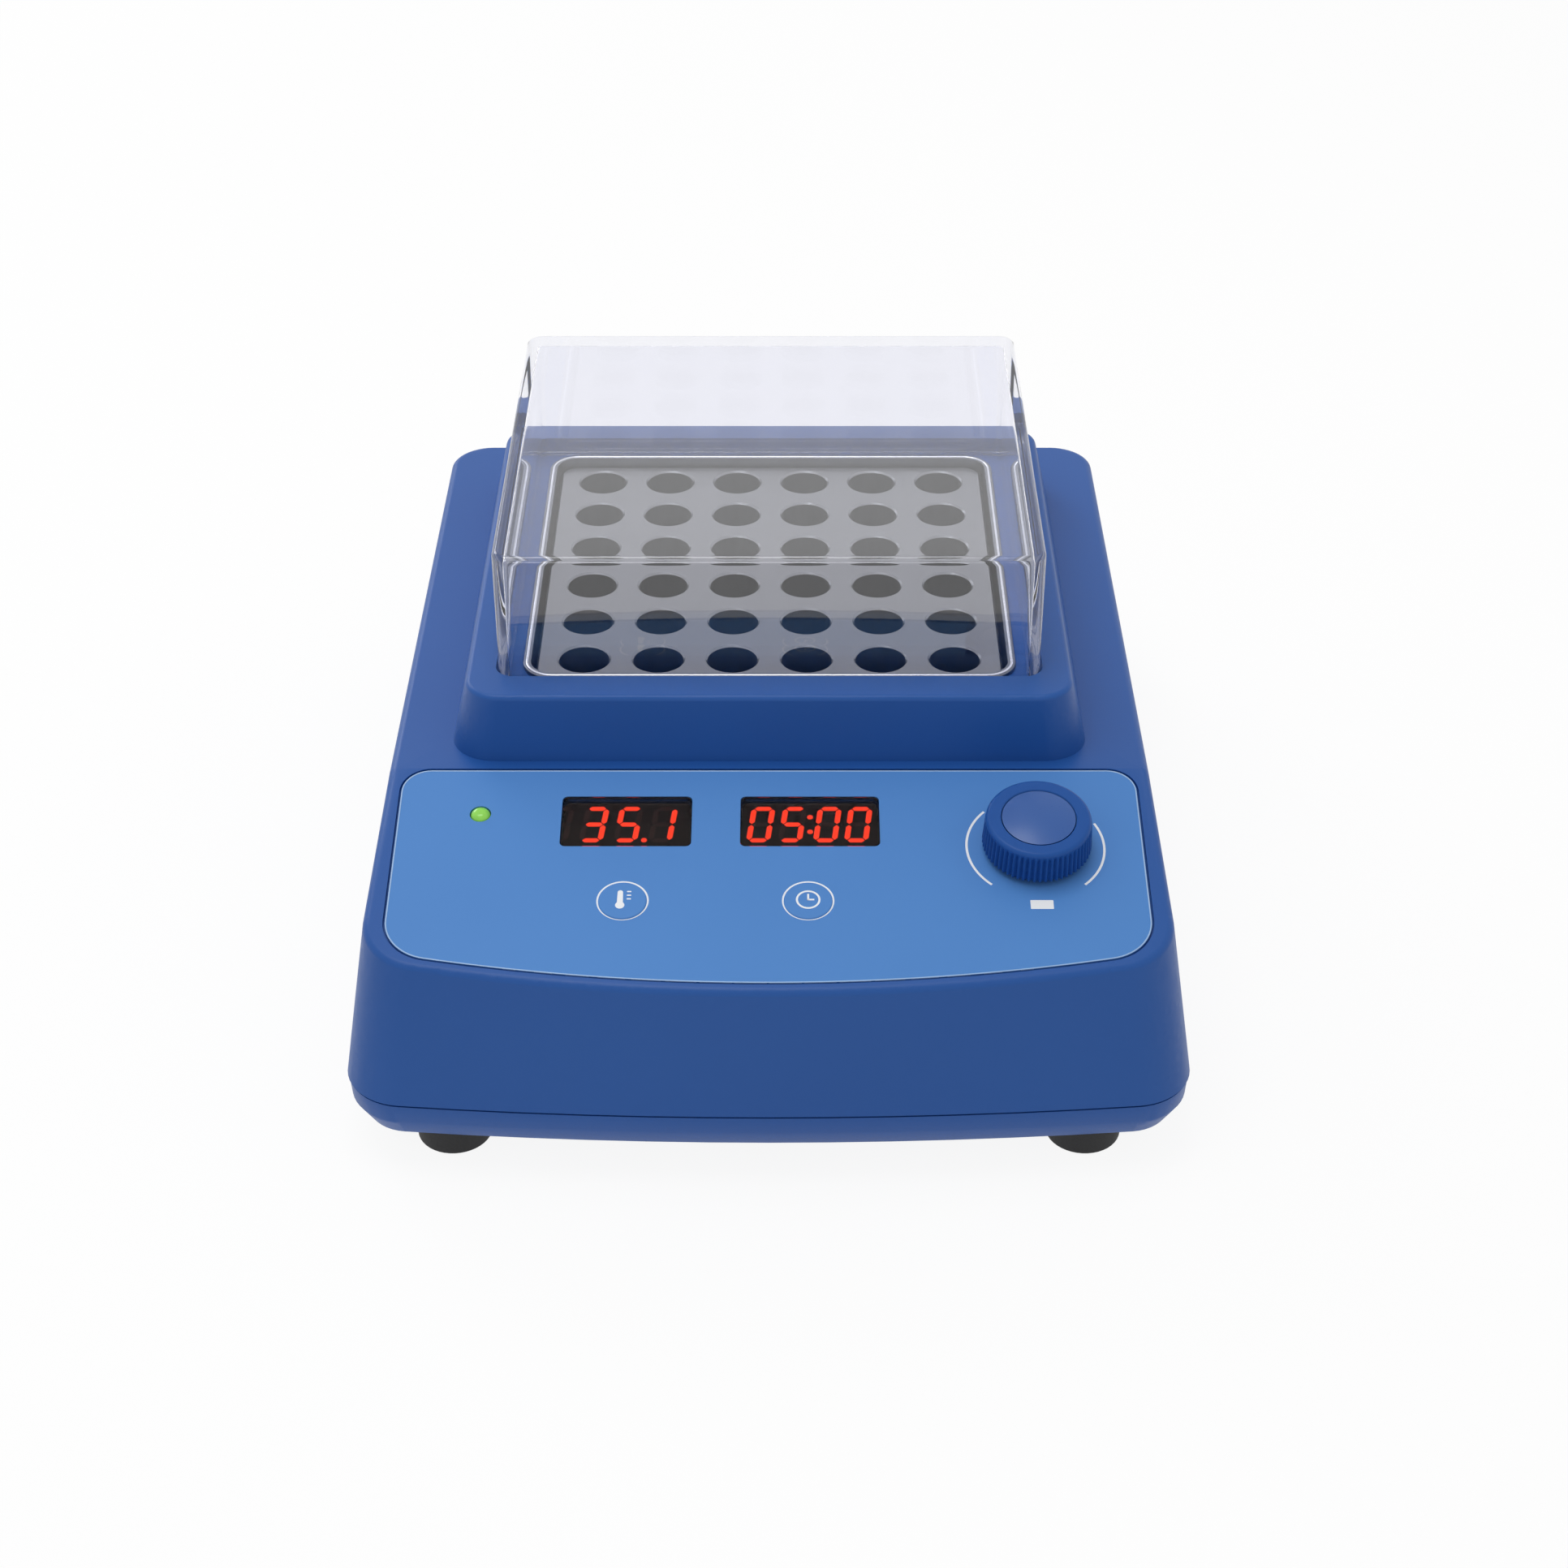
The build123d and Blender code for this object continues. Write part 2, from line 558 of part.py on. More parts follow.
def upper_housing():
    """One moulding: tapered shell, sloping panel, raised collar with its recess, and the bosses."""
    housing = outer_case() - housing_hollow()
    recess = slab(2 * RECESS_HALF_X, 2 * RECESS_HALF_Y, LID_CORNER + LID_CLEARANCE, LEDGE_Z, COLLAR_Z + 1)
    width, depth = 2 * (LINER_HALF_X + FIT_GAP), 2 * (LINER_HALF_Y + FIT_GAP)
    mouth = slab(width, depth, LINER_CORNER, DECK_Z, LEDGE_Z + 1)
    housing -= Pos(0, CENTRE_Y) * (recess + mouth)
    for x, y in case_screw_spots():
        housing -= Pos(x, y, 0) * disc(CASE_SCREW_RADIUS, 0, CASE_SCREW_BORE)
    for x, up in BOARD_SPOTS:
        housing -= panel(x, up) * disc(SMALL_SCREW_RADIUS, BOARD_TOP - 1, -PANEL_WALL - BOARD_BORE)
    return housing - panel_openings() - rear_openings()


def case_screw_spots():
    """Where the four long screws join the base and the housing."""
    ends = (CASE_FRONT + CASE_SCREW_END, CASE_BACK - CASE_SCREW_END)
    return [(sx * CASE_SCREW_X, y) for sx in (-1, 1) for y in ends]


def housing_rib(x, y):
    """A rib from a boss to the side wall."""
    reach = CASE_WIDTH / 2 - abs(x)
    middle = (abs(x) + reach / 2) * (1 if x > 0 else -1)
    return Pos(middle, y, 0) * block(reach, RIB, CASE_EDGE_Z + RIB_RISE, DECK_Z)


def base_pan():
    """The lower half: undercut skirt, floor with ribs and vents, pillars and a tongue into the housing."""
    shoulder, top = BASE_SHOULDER_Z, BASE_TOP_Z
    pan = base_block([(BASE_BOTTOM_Z, BASE_BOTTOM_INSET), (shoulder, BASE_SHOULDER_INSET)])
    pan += base_block([(shoulder, BASE_SHOULDER_INSET), (top, BASE_TOP_INSET)])
    tongue = WALL + FIT_GAP
    pan += base_block([(top, tongue), (top + TONGUE_HEIGHT, tongue + TONGUE_TAPER)])
    inner = tongue + TONGUE_THICKNESS
    hollow = base_block([(BASE_FLOOR_Z, BASE_BOTTOM_INSET + BASE_WALL), (shoulder, inner)])
    hollow += base_block([(shoulder, inner), (top + TONGUE_HEIGHT + 1, inner)])
    pan -= hollow - base_ribs()
    for pillar in base_pillars():
        pan += pillar
    for bore in base_bores():
        pan -= bore
    return pan - base_vents()


def base_pillars():
    """What stands on the floor: pillars for the case screws, the cradle and the power board."""
    pillars = [Pos(x, y, 0) * disc(BOSS_RADIUS, BASE_FLOOR_Z, BOSS_FOOT_Z) for x, y in case_screw_spots()]
    cradle = disc(BOSS_RADIUS, BASE_FLOOR_Z, CRADLE_Z)
    board = disc(BOARD_BOSS, BASE_FLOOR_Z, POWER_BOARD_Z)
    pillars += [place * cradle for place in four(*CRADLE_PILLAR, CENTRE_Y)]
    return pillars + [place * board for place in power_board_spots()]


def base_bores():
    """The holes of the screws, with the sunk seats of the case screws."""
    head = disc(CASE_SCREW_HEAD + HOLE_GAP, 0, CASE_SCREW_Z + CASE_SCREW_HEAD_HEIGHT)
    through = disc(CASE_SCREW_RADIUS + FIT_GAP, 0, CRADLE_Z) + head
    bores = [Pos(x, y, 0) * through for x, y in case_screw_spots()]
    blind = disc(SMALL_SCREW_RADIUS, CRADLE_TOP - SMALL_SCREW_LENGTH - CRADLE_SHEET - 1, CRADLE_Z)
    bores += [place * blind for place in four(*CRADLE_PILLAR, CENTRE_Y)]
    low = disc(SMALL_SCREW_RADIUS, POWER_BOARD_Z - SMALL_SCREW_LENGTH + 1, POWER_BOARD_Z)
    bores += [place * low for place in power_board_spots()]
    return bores + [place * disc(SMALL_SCREW_RADIUS, 0, CRADLE_Z) for place in foot_spots()]


def base_ribs():
    """Stiffening ribs on the floor of the base."""
    across = block(CASE_WIDTH, BASE_RIB, 0, BASE_RIB_TOP)
    long = block(BASE_RIB, CASE_DEPTH, 0, BASE_RIB_TOP)
    side = CASE_WIDTH / 2 - BASE_RIB_SIDE
    ribs = Pos(0, KINK_Y + BASE_RIB_FRONT) * across + Pos(0, CASE_BACK - BASE_RIB_BACK) * across
    return ribs + Pos(-side, 0) * long + Pos(side, 0) * long


def base_vents():
    """Two rows of slots in the floor under the heater."""
    slot = slab(VENT_WIDTH, VENT_LENGTH, VENT_RADIUS, 0, BASE_FLOOR_Z + 1)
    grid = GridLocations(VENT_PITCH, 2 * VENT_ROW_Y, VENT_COLUMNS, 2)
    return [slot.moved(Pos(0, CENTRE_Y) * place) for place in grid]


def foot_spots():
    """Where the four feet sit."""
    return [Pos(sx * FOOT_X, y, 0) for sx in (-1, 1) for y in (FOOT_FRONT_Y, FOOT_BACK_Y)]


def rubber_foot():
    """One foot: a short tapered puck with a recess for its screw."""
    puck = Pos(0, 0, BASE_BOTTOM_Z / 2) * Cone(FOOT_LOW_RADIUS, FOOT_RADIUS, BASE_BOTTOM_Z)
    puck = fillet(puck.edges().sort_by(Axis.Z)[0], FOOT_EDGE_RADIUS)
    return puck - disc(FOOT_HOLE, 0, FOOT_HOLE_DEPTH) - disc(SMALL_SCREW_RADIUS, 0, BASE_BOTTOM_Z)


def pan_screw(radius, head_radius, head, bottom, top):
    """A screw standing on its head, head at the bottom."""
    return disc(head_radius, bottom, bottom + head) + disc(radius, bottom + head, top)


def place_all(solid, places):
    """Copies of one solid at several places, as one node."""
    return Compound(children=[solid.moved(place) for place in places])


def control_overlay():
    """The thin printed sheet of the panel with its openings."""
    sheet = panel(0, 0, OVERLAY_FLOOR) * extrude(overlay_face(), OVERLAY_DEPTH)
    for x, up, width, height in (TEMPERATURE_WINDOW, TIMER_WINDOW):
        grow = 2 * KEY_GAP
        sheet -= panel(x, up) * slab(width + grow, height + grow, WINDOW_RADIUS, -PANEL_WALL, 1)
    for spot in (TEMPERATURE_KEY, TIME_KEY):
        sheet -= panel(*spot) * disc(KEY_RADIUS + KEY_GAP, -PANEL_WALL, 1)
    sheet -= panel(*LAMP_SPOT) * disc(LAMP_RADIUS + KEY_GAP, -PANEL_WALL, 1)
    return sheet - panel(*KNOB_SPOT) * disc(BUSHING_RADIUS + BUSHING_GAP, -PANEL_WALL, 1)


def display_window(x, up, width, height):
    """A tinted lens with a lip that sits behind the overlay."""
    lip = 2 * LENS_LIP
    lens = slab(width + lip, height + lip, WINDOW_RADIUS, OVERLAY_FLOOR - LENS_LIP_DEPTH, OVERLAY_FLOOR)
    lens += slab(width, height, WINDOW_RADIUS, OVERLAY_FLOOR, -LENS_SINK)
    return panel(x, up) * lens


def display_module(x, up, width, height):
    """The display's body on the control board, just behind its window."""
    gap = 2 * MODULE_GAP
    return panel(x, up) * slab(width - gap, height - gap, WINDOW_RADIUS, BOARD_TOP, MODULE_FACE)


def key(x, up):
    """A round key with a flange behind the panel and a stem into its switch."""
    cap = disc(KEY_RADIUS, KEY_BOTTOM, KEY_PROUD)
    cap = fillet(cap.edges().sort_by(Axis.Z)[-1], KEY_EDGE_RADIUS)
    cap += disc(KEY_FLANGE, KEY_BOTTOM, KEY_FLANGE_TOP)
    return panel(x, up) * (cap + disc(STEM_RADIUS, SWITCH_TOP - STEM_DEPTH, KEY_BOTTOM))


def key_switch(x, up):
    """The small switch under a key, with the hole for the key's stem."""
    body = block(SWITCH_SIDE, SWITCH_SIDE, BOARD_TOP, SWITCH_TOP)
    bore = SWITCH_TOP - STEM_DEPTH - 2 * KEY_TRAVEL
    return panel(x, up) * (body - disc(STEM_RADIUS + RUNNING_GAP, bore, 0))


def indicator_lamp():
    """A round lamp with a domed end and a flange."""
    lamp = disc(LAMP_RADIUS, LAMP_FOOT, LAMP_TOP)
    lamp = fillet(lamp.edges().sort_by(Axis.Z)[-1], LAMP_DOME)
    return panel(*LAMP_SPOT) * (lamp + disc(LAMP_FLANGE, LAMP_FOOT, LAMP_FOOT + LAMP_FLANGE_HEIGHT))


def lamp_spacer():
    """The spacer that holds the lamp off the board."""
    return panel(*LAMP_SPOT) * ring(LAMP_FLANGE, SPACER_BORE, BOARD_TOP, LAMP_FOOT)


def shaft_profile(bottom, top):
    """The shaft's round with its flat."""
    flat = Pos(0, SHAFT_FLAT + SHAFT_RADIUS, 0) * block(4 * SHAFT_RADIUS, 2 * SHAFT_RADIUS, bottom, top)
    return disc(SHAFT_RADIUS, bottom, top) - flat


def control_knob():
    """The fluted knob, hollow underneath, with a hub on the shaft and a seat for its cap."""
    flutes = PolarLocations(KNOB_RADIUS + FLUTE_OFFSET, KNOB_FLUTES) * Circle(FLUTE_RADIUS)
    body = Pos(0, 0, KNOB_FOOT) * extrude(Circle(KNOB_RADIUS) - flutes, KNOB_TOP - KNOB_FOOT)
    profile = Polyline(
        (0, 0), (KNOB_RADIUS + KNOB_BULGE, 0), (KNOB_RADIUS + KNOB_LEAN, KNOB_TOP - KNOB_CROWN_HEIGHT),
        (KNOB_RADIUS - KNOB_CROWN, KNOB_TOP), (0, KNOB_TOP), (0, 0),
    )
    body &= revolve(make_face(Plane.XZ * profile), Axis.Z)
    body += disc(KNOB_SKIRT_RADIUS, KNOB_FOOT, KNOB_FOOT + KNOB_SKIRT_HEIGHT)
    body -= disc(KNOB_RADIUS - KNOB_WALL, 0, KNOB_CEILING)
    body += disc(SHAFT_RADIUS + KNOB_HUB_WALL, KNOB_HUB_FOOT, KNOB_TOP - CAP_DEPTH)
    body -= shaft_profile(0, KNOB_TOP - CAP_DEPTH)
    body -= disc(CAP_RADIUS, KNOB_TOP - CAP_DEPTH, KNOB_TOP + 1)
    return panel(*KNOB_SPOT) * body


def knob_cap():
    """The slightly domed insert in the top of the knob."""
    swell = (CAP_RADIUS**2 + CAP_DOME**2) / (2 * CAP_DOME)
    dome = Pos(0, 0, KNOB_TOP + CAP_DOME - swell) * Sphere(swell)
    return panel(*KNOB_SPOT) * (disc(CAP_RADIUS, KNOB_TOP - CAP_DEPTH, KNOB_TOP + CAP_DOME) & dome)


def encoder_shaft():
    """The shaft that the knob sits on."""
    shaft = disc(SHAFT_RADIUS, PLUNGER_TOP, BUSHING_TOP)
    return panel(*KNOB_SPOT) * (shaft + shaft_profile(BUSHING_TOP, KNOB_TOP - CAP_DEPTH))


def encoder_plunger():
    """The plunger under the shaft, which the knob pushes down."""
    return panel(*KNOB_SPOT) * disc(SHAFT_RADIUS, PLUNGER_TOP - PLUNGER_HEIGHT, PLUNGER_TOP)


def encoder_body():
    """The encoder's body with its threaded bushing."""
    body = block(ENCODER_SIDE, ENCODER_SIDE, BOARD_TOP, -PANEL_WALL)
    body += disc(BUSHING_RADIUS, -PANEL_WALL, BUSHING_TOP)
    bore = PLUNGER_TOP - PLUNGER_HEIGHT - KNOB_TRAVEL - PLUNGER_GAP
    return panel(*KNOB_SPOT) * (body - disc(SHAFT_RADIUS + RUNNING_GAP, bore, BUSHING_TOP))


def encoder_nut():
    """The hexagon nut under the knob."""
    nut = extrude(RegularPolygon(NUT_RADIUS, 6, major_radius=False), NUT_HEIGHT)
    nut -= disc(BUSHING_RADIUS, 0, NUT_HEIGHT)
    return panel(*KNOB_SPOT, -OVERLAY_SINK) * nut


def control_board():
    """The board behind the panel."""
    low, high = BOARD_RANGE
    back = BOARD_TOP - BOARD_THICKNESS
    board = Pos(0, (low + high) / 2) * slab(2 * BOARD_HALF, high - low, BOARD_CORNER, back, BOARD_TOP)
    for x, up in BOARD_SPOTS:
        board -= Pos(x, up) * disc(SMALL_SCREW_RADIUS + HOLE_GAP, back, BOARD_TOP)
    return panel(0, 0) * board


def control_board_parts():
    """Processor, connector and driver chips on the back of the control board."""
    back = BOARD_TOP - BOARD_THICKNESS
    solids = [panel(x, up) * block(width, depth, back - h, back) for x, up, width, depth, h in CHIPS]
    return Compound(children=solids)


def power_board_place():
    """The centre of the power board, set out from the front of the case."""
    return Pos(POWER_BOARD_X, CASE_FRONT + POWER_BOARD_FRONT + POWER_BOARD_SIZE[1] / 2)


def power_board_spots():
    """The power board's four screws."""
    width, depth = POWER_BOARD_SIZE
    spots = four(width / 2 - POWER_BOARD_INSET, depth / 2 - POWER_BOARD_INSET)
    return [power_board_place() * place for place in spots]


def power_board():
    """The board on the base that feeds the heater."""
    top = POWER_BOARD_Z + BOARD_THICKNESS
    board = power_board_place() * slab(*POWER_BOARD_SIZE, POWER_BOARD_CORNER, POWER_BOARD_Z, top)
    for place in power_board_spots():
        board -= place * disc(SMALL_SCREW_RADIUS + HOLE_GAP, POWER_BOARD_Z, top)
    return board


def heat_sink(width, depth, bottom, top):
    """A plate with a row of fins."""
    sink = block(width, depth, bottom, top)
    for n in range(SINK_FINS):
        sink += Pos((n - (SINK_FINS - 1) / 2) * FIN_PITCH, FIN_Y) * block(*FIN_SIZE, bottom, top)
    return sink


def power_board_parts():
    """Transformer, two capacitors, heat sink and terminals."""
    foot = POWER_BOARD_Z + BOARD_THICKNESS
    x, y, radius, height = CAPACITOR
    solids = [Pos(x + CAPACITOR_PITCH * n, y) * disc(radius, foot, foot + height) for n in (0, 1)]
    for x, y, width, depth, height in (TRANSFORMER, TERMINALS):
        solids.append(Pos(x, y) * block(width, depth, foot, foot + height))
    x, y, width, depth, height = SINK
    solids.append(Pos(x, y) * heat_sink(width, depth, foot, foot + height))
    return Compound(children=[power_board_place() * solid for solid in solids])


def heating_block():
    """The aluminium block with its grid of wells, straight at the mouth and tapered below."""
    solid = slab(2 * BLOCK_HALF_X, 2 * BLOCK_HALF_Y, BLOCK_CORNER, BLOCK_BOTTOM, BLOCK_TOP)
    solid = Pos(0, CENTRE_Y) * chamfer(solid.faces().sort_by(Axis.Z)[-1].edges(), BLOCK_EDGE)
    deep, straight = BLOCK_TOP - WELL_DEPTH, BLOCK_TOP - WELL_STRAIGHT
    half = WELL_RADIUS + WELL_CHAMFER
    line = Polyline(
        (0, deep), (WELL_TIP_RADIUS, deep), (WELL_RADIUS, straight),
        (WELL_RADIUS, BLOCK_TOP - WELL_CHAMFER), (half, BLOCK_TOP), (half, BLOCK_TOP + 1),
        (0, BLOCK_TOP + 1), (0, deep),
    )
    well = revolve(make_face(Plane.XZ * line), Axis.Z)
    return solid - [well.moved(place) for place in well_spots()]


def well_spots():
    """The places of the wells, row by row from the front."""
    steps = [(n - (WELL_ROWS - 1) / 2) * WELL_PITCH for n in range(WELL_ROWS)]
    return [Pos(x, CENTRE_Y + y, 0) for y in steps for x in steps]


def sleeve(half_x, half_y, thickness, radius, bottom, top):
    """A rectangular tube with rounded corners about the block's centre."""
    outer = slab(2 * (half_x + thickness), 2 * (half_y + thickness), radius + thickness, bottom, top)
    return Pos(0, CENTRE_Y) * (outer - slab(2 * half_x, 2 * half_y, radius, bottom, top))


def block_liner():
    """The sheet tray round the block, hung by its rim on the housing's ledge."""
    half_x, half_y = BLOCK_HALF_X + LINER_GAP, BLOCK_HALF_Y + LINER_GAP
    corner = BLOCK_CORNER + LINER_GAP
    walls = sleeve(half_x, half_y, LINER_SHEET, corner, LINER_BOTTOM, LEDGE_Z + LINER_RIM_HEIGHT)
    rim = sleeve(half_x, half_y, LINER_RIM, corner, LEDGE_Z, LEDGE_Z + LINER_RIM_HEIGHT)
    crown = rim.faces().sort_by(Axis.Z)[-1].edges()
    return walls + fillet(crown, LINER_RIM_RADIUS)


def heater_screw_spots():
    """The four heater screws."""
    return four(*HEATER_SCREW_SPOT, CENTRE_Y)


def heater_layer(inset, bottom, top, hole):
    """One flat layer of the heater stack with its screw holes."""
    width, depth = 2 * (BLOCK_HALF_X - inset), 2 * (BLOCK_HALF_Y - inset)
    layer = Pos(0, CENTRE_Y) * slab(width, depth, BLOCK_CORNER, bottom, top)
    for place in heater_screw_spots():
        layer -= place * disc(hole, bottom, top)
    return layer


def cutout_window(bottom, top):
    """The round window for the thermal cut-out."""
    return Pos(0, CENTRE_Y) * disc(CUTOUT_WINDOW, bottom, top)


def heater_plate():
    """The plate that carries the block, with sunk screw heads and the bore for the probe."""
    plate = heater_layer(0, PLATE_Z, BLOCK_BOTTOM, HEATER_SCREW_RADIUS + FIT_GAP / 2)
    for place in heater_screw_spots():
        plate -= place * disc(HEATER_HEAD_RADIUS + HOLE_GAP, heater_head_z(), BLOCK_BOTTOM)
    return plate - probe_rod(PROBE_RADIUS)


def heater_head_z():
    """The height of the seats of the heater screws' heads."""
    return BLOCK_BOTTOM - HEATER_HEAD - HEATER_HEAD_SINK


def probe_rod(radius):
    """The temperature probe in the back of the plate."""
    middle = (0, CENTRE_Y + BLOCK_HALF_Y + PROBE_TAIL - PROBE_LENGTH / 2, (PLATE_Z + BLOCK_BOTTOM) / 2)
    return Location(middle, (90, 0, 0)) * Cylinder(radius, PROBE_LENGTH)


def heater_mat():
    """The flat heater under the plate."""
    return heater_layer(MAT_INSET, MAT_Z, PLATE_Z, SPACER_RADIUS + HOLE_GAP) - cutout_window(MAT_Z, PLATE_Z)


def lower_insulation():
    """The pad between the cradle and the heater."""
    pad = heater_layer(0, CRADLE_TOP, MAT_Z, SPACER_RADIUS + HOLE_GAP)
    return pad - cutout_window(CRADLE_TOP, MAT_Z)


def side_insulation():
    """The sleeve round the liner, standing on the cradle."""
    half_x, half_y = LINER_HALF_X + SLEEVE_GAP, LINER_HALF_Y + SLEEVE_GAP
    wrap = sleeve(half_x, half_y, SLEEVE_THICKNESS, SLEEVE_CORNER, CRADLE_TOP, SLEEVE_TOP)
    return wrap - probe_rod(PROBE_RADIUS + HOLE_GAP)


def cradle_plate():
    """The steel plate that carries the heater on the base's pillars."""
    plate = slab(2 * CRADLE_HALF_X, 2 * CRADLE_HALF_Y, CRADLE_CORNER, CRADLE_Z, CRADLE_TOP)
    plate = Pos(0, CENTRE_Y) * plate - cutout_window(CRADLE_Z, CRADLE_TOP)
    for place in four(*CRADLE_PILLAR, CENTRE_Y):
        plate -= place * disc(SMALL_SCREW_RADIUS + HOLE_GAP, CRADLE_Z, CRADLE_TOP)
    for place in heater_screw_spots():
        plate -= place * disc(HEATER_SCREW_RADIUS, CRADLE_Z, CRADLE_TOP)
    return plate - Pos(*EARTH_SPOT) * disc(EARTH_RADIUS, CRADLE_Z, CRADLE_TOP)


def heater_screws():
    """Four sunk screws, through the spacers into the cradle."""
    screw = disc(HEATER_HEAD_RADIUS, heater_head_z(), BLOCK_BOTTOM - HEATER_HEAD_SINK)
    screw += disc(HEATER_SCREW_RADIUS, CRADLE_Z - HEATER_SCREW_TAIL, heater_head_z())
    return place_all(screw, heater_screw_spots())


def heater_spacers():
    """Four tubes that keep the plate off the cradle."""
    spacer = ring(SPACER_RADIUS, HEATER_SCREW_RADIUS, CRADLE_TOP, PLATE_Z)
    return place_all(spacer, heater_screw_spots())


def thermal_cutout():
    """The round cut-out pressed against the plate, with two blades below."""
    cap, low = PLATE_Z - CUTOUT_CAP, PLATE_Z - CUTOUT_HEIGHT
    body = disc(CUTOUT_RADIUS, cap, PLATE_Z) + disc(CUTOUT_RADIUS - 1, low, cap)
    thickness, width, length = CUTOUT_BLADE
    for x in (-CUTOUT_BLADE_X, CUTOUT_BLADE_X):
        body += Pos(x, 0) * block(thickness, width, low - length, low)
    return Pos(0, CENTRE_Y) * body


def small_screw(seat, length=SMALL_SCREW_LENGTH):
    """A small screw standing in a hole, its head on the seat."""
    return disc(SMALL_HEAD_RADIUS, seat, seat + SMALL_HEAD) + disc(SMALL_SCREW_RADIUS, seat - length, seat)


def cradle_screws():
    """Four screws that hold the cradle on the pillars."""
    screw = small_screw(CRADLE_TOP, SMALL_SCREW_LENGTH + CRADLE_SHEET)
    return place_all(screw, four(*CRADLE_PILLAR, CENTRE_Y))


def earth_stud():
    """The earth stud with its nut on the cradle."""
    nut = extrude(RegularPolygon(EARTH_NUT, 6, major_radius=False), EARTH_NUT_HEIGHT)
    stud = disc(EARTH_RADIUS, CRADLE_Z - EARTH_TAIL, CRADLE_TOP + EARTH_STUD_HEIGHT)
    return Pos(*EARTH_SPOT) * (stud + Pos(0, 0, CRADLE_TOP) * nut)


def lid():
    """The clear cover: five walls, open at the bottom."""
    outer = slab(2 * LID_HALF_X, 2 * LID_HALF_Y, LID_CORNER, LEDGE_Z, LID_TOP)
    outer = fillet(outer.faces().sort_by(Axis.Z)[-1].edges(), LID_EDGE_RADIUS)
    width, depth = 2 * (LID_HALF_X - LID_WALL), 2 * (LID_HALF_Y - LID_WALL)
    inner = slab(width, depth, LID_INNER_CORNER, LEDGE_Z - 1, LID_TOP - LID_WALL)
    return Pos(0, CENTRE_Y) * (outer - inner)


def socket_face():
    """The outline of the inlet's socket, with two corners cut."""
    width, height, _ = SOCKET_SIZE
    face = Rectangle(width, height)
    return chamfer(face.vertices().group_by(Axis.Y)[-1], SOCKET_CHAMFER)


def power_inlet():
    """The inlet: flange, body, socket and the bay of the fuse drawer."""
    width, height, front = INLET_FLANGE
    body = slab(width, height, INLET_FLANGE_RADIUS, 0, front)
    width, height, depth = INLET_BODY
    body += block(width, height, -depth, 0)
    body -= Pos(0, SOCKET_RISE, front - SOCKET_SIZE[2]) * extrude(socket_face(), SOCKET_SIZE[2])
    width, height, depth = DRAWER_SIZE
    bay = block(width + 2 * FIT_GAP, height + 2 * FIT_GAP, front - depth - DRAWER_BACK_GAP, front)
    body -= Pos(0, -DRAWER_DROP) * bay
    body -= inlet_pin_blades(PIN_SLOT_TAIL)
    for x in (-INLET_SCREW_PITCH, INLET_SCREW_PITCH):
        body -= Pos(x, INLET_SCREW_RISE) * disc(INLET_SCREW_RADIUS, -INLET_BODY[2], front)
    return rear(INLET_X, INLET_Z) * body


def inlet_pin_blades(back_reach):
    """The three blades of the inlet, about the inlet's own axes."""
    tip = INLET_FLANGE[2] - PIN_SINK
    bottom = -INLET_BODY[2] - back_reach
    spots = [(-PIN_PITCH, -PIN_RISE), (0.0, PIN_RISE), (PIN_PITCH, -PIN_RISE)]
    return [Pos(x, SOCKET_RISE + y) * block(*PIN_SIZE, bottom, tip) for x, y in spots]


def inlet_pins():
    """The inlet's blades with their tails behind the body."""
    place = rear(INLET_X, INLET_Z)
    return Compound(children=[place * blade for blade in inlet_pin_blades(PIN_TAIL)])


def fuse_drawer():
    """The drawer under the socket, with a trough for its fuse."""
    width, height, depth = DRAWER_SIZE
    front = INLET_FLANGE[2]
    drawer = block(width, height, front - depth, front)
    drawer += block(*DRAWER_FACE[:2], front, front + DRAWER_FACE[2])
    trough = Box(FUSE_LENGTH + FUSE_GAP, height, 2 * (FUSE_RADIUS + FIT_GAP))
    trough = Pos(0, FUSE_FLOOR, front - FUSE_SPOT) * trough
    return rear(INLET_X, DRAWER_Z) * (drawer - trough)


def fuse():
    """The fuse lying across the drawer."""
    floor = FUSE_FLOOR - DRAWER_SIZE[1] / 2
    place = Location((0, floor + FUSE_RADIUS, INLET_FLANGE[2] - FUSE_SPOT), (0, 90, 0))
    return rear(INLET_X, DRAWER_Z) * place * Cylinder(FUSE_RADIUS, FUSE_LENGTH)


def inlet_screws():
    """Two screws through the inlet's flange."""
    front = INLET_FLANGE[2]
    screw = disc(INLET_SCREW_HEAD, front, front + INLET_SCREW_HEAD_HEIGHT)
    screw += disc(INLET_SCREW_RADIUS, -INLET_SCREW_TAIL, front)
    return place_all(screw, inlet_screw_spots())


def switch_bezel():
    """The frame and body of the power switch."""
    width, height, front = SWITCH_FLANGE
    frame = slab(width, height, SWITCH_FLANGE_RADIUS, 0, front)
    width, height, depth = SWITCH_BODY
    frame += block(width, height, -depth, 0)
    frame -= block(ROCKER_WIDTH + BAY_GAP, 2 * (ROCKER_RADIUS + 2 * FIT_GAP), -SWITCH_BAY, front)
    holes = rocker_pin(ROCKER_PIN + RUNNING_GAP, width / 2 - ROCKER_HOLE_END)
    return rear(SWITCH_X, INLET_Z) * frame - Pos(*ROCKER_PIVOT) * holes


def rocker_pin(radius, reach):
    """The rocker's pin, across its pivot."""
    return Rot(0, 90, 0) * Cylinder(radius, 2 * reach)


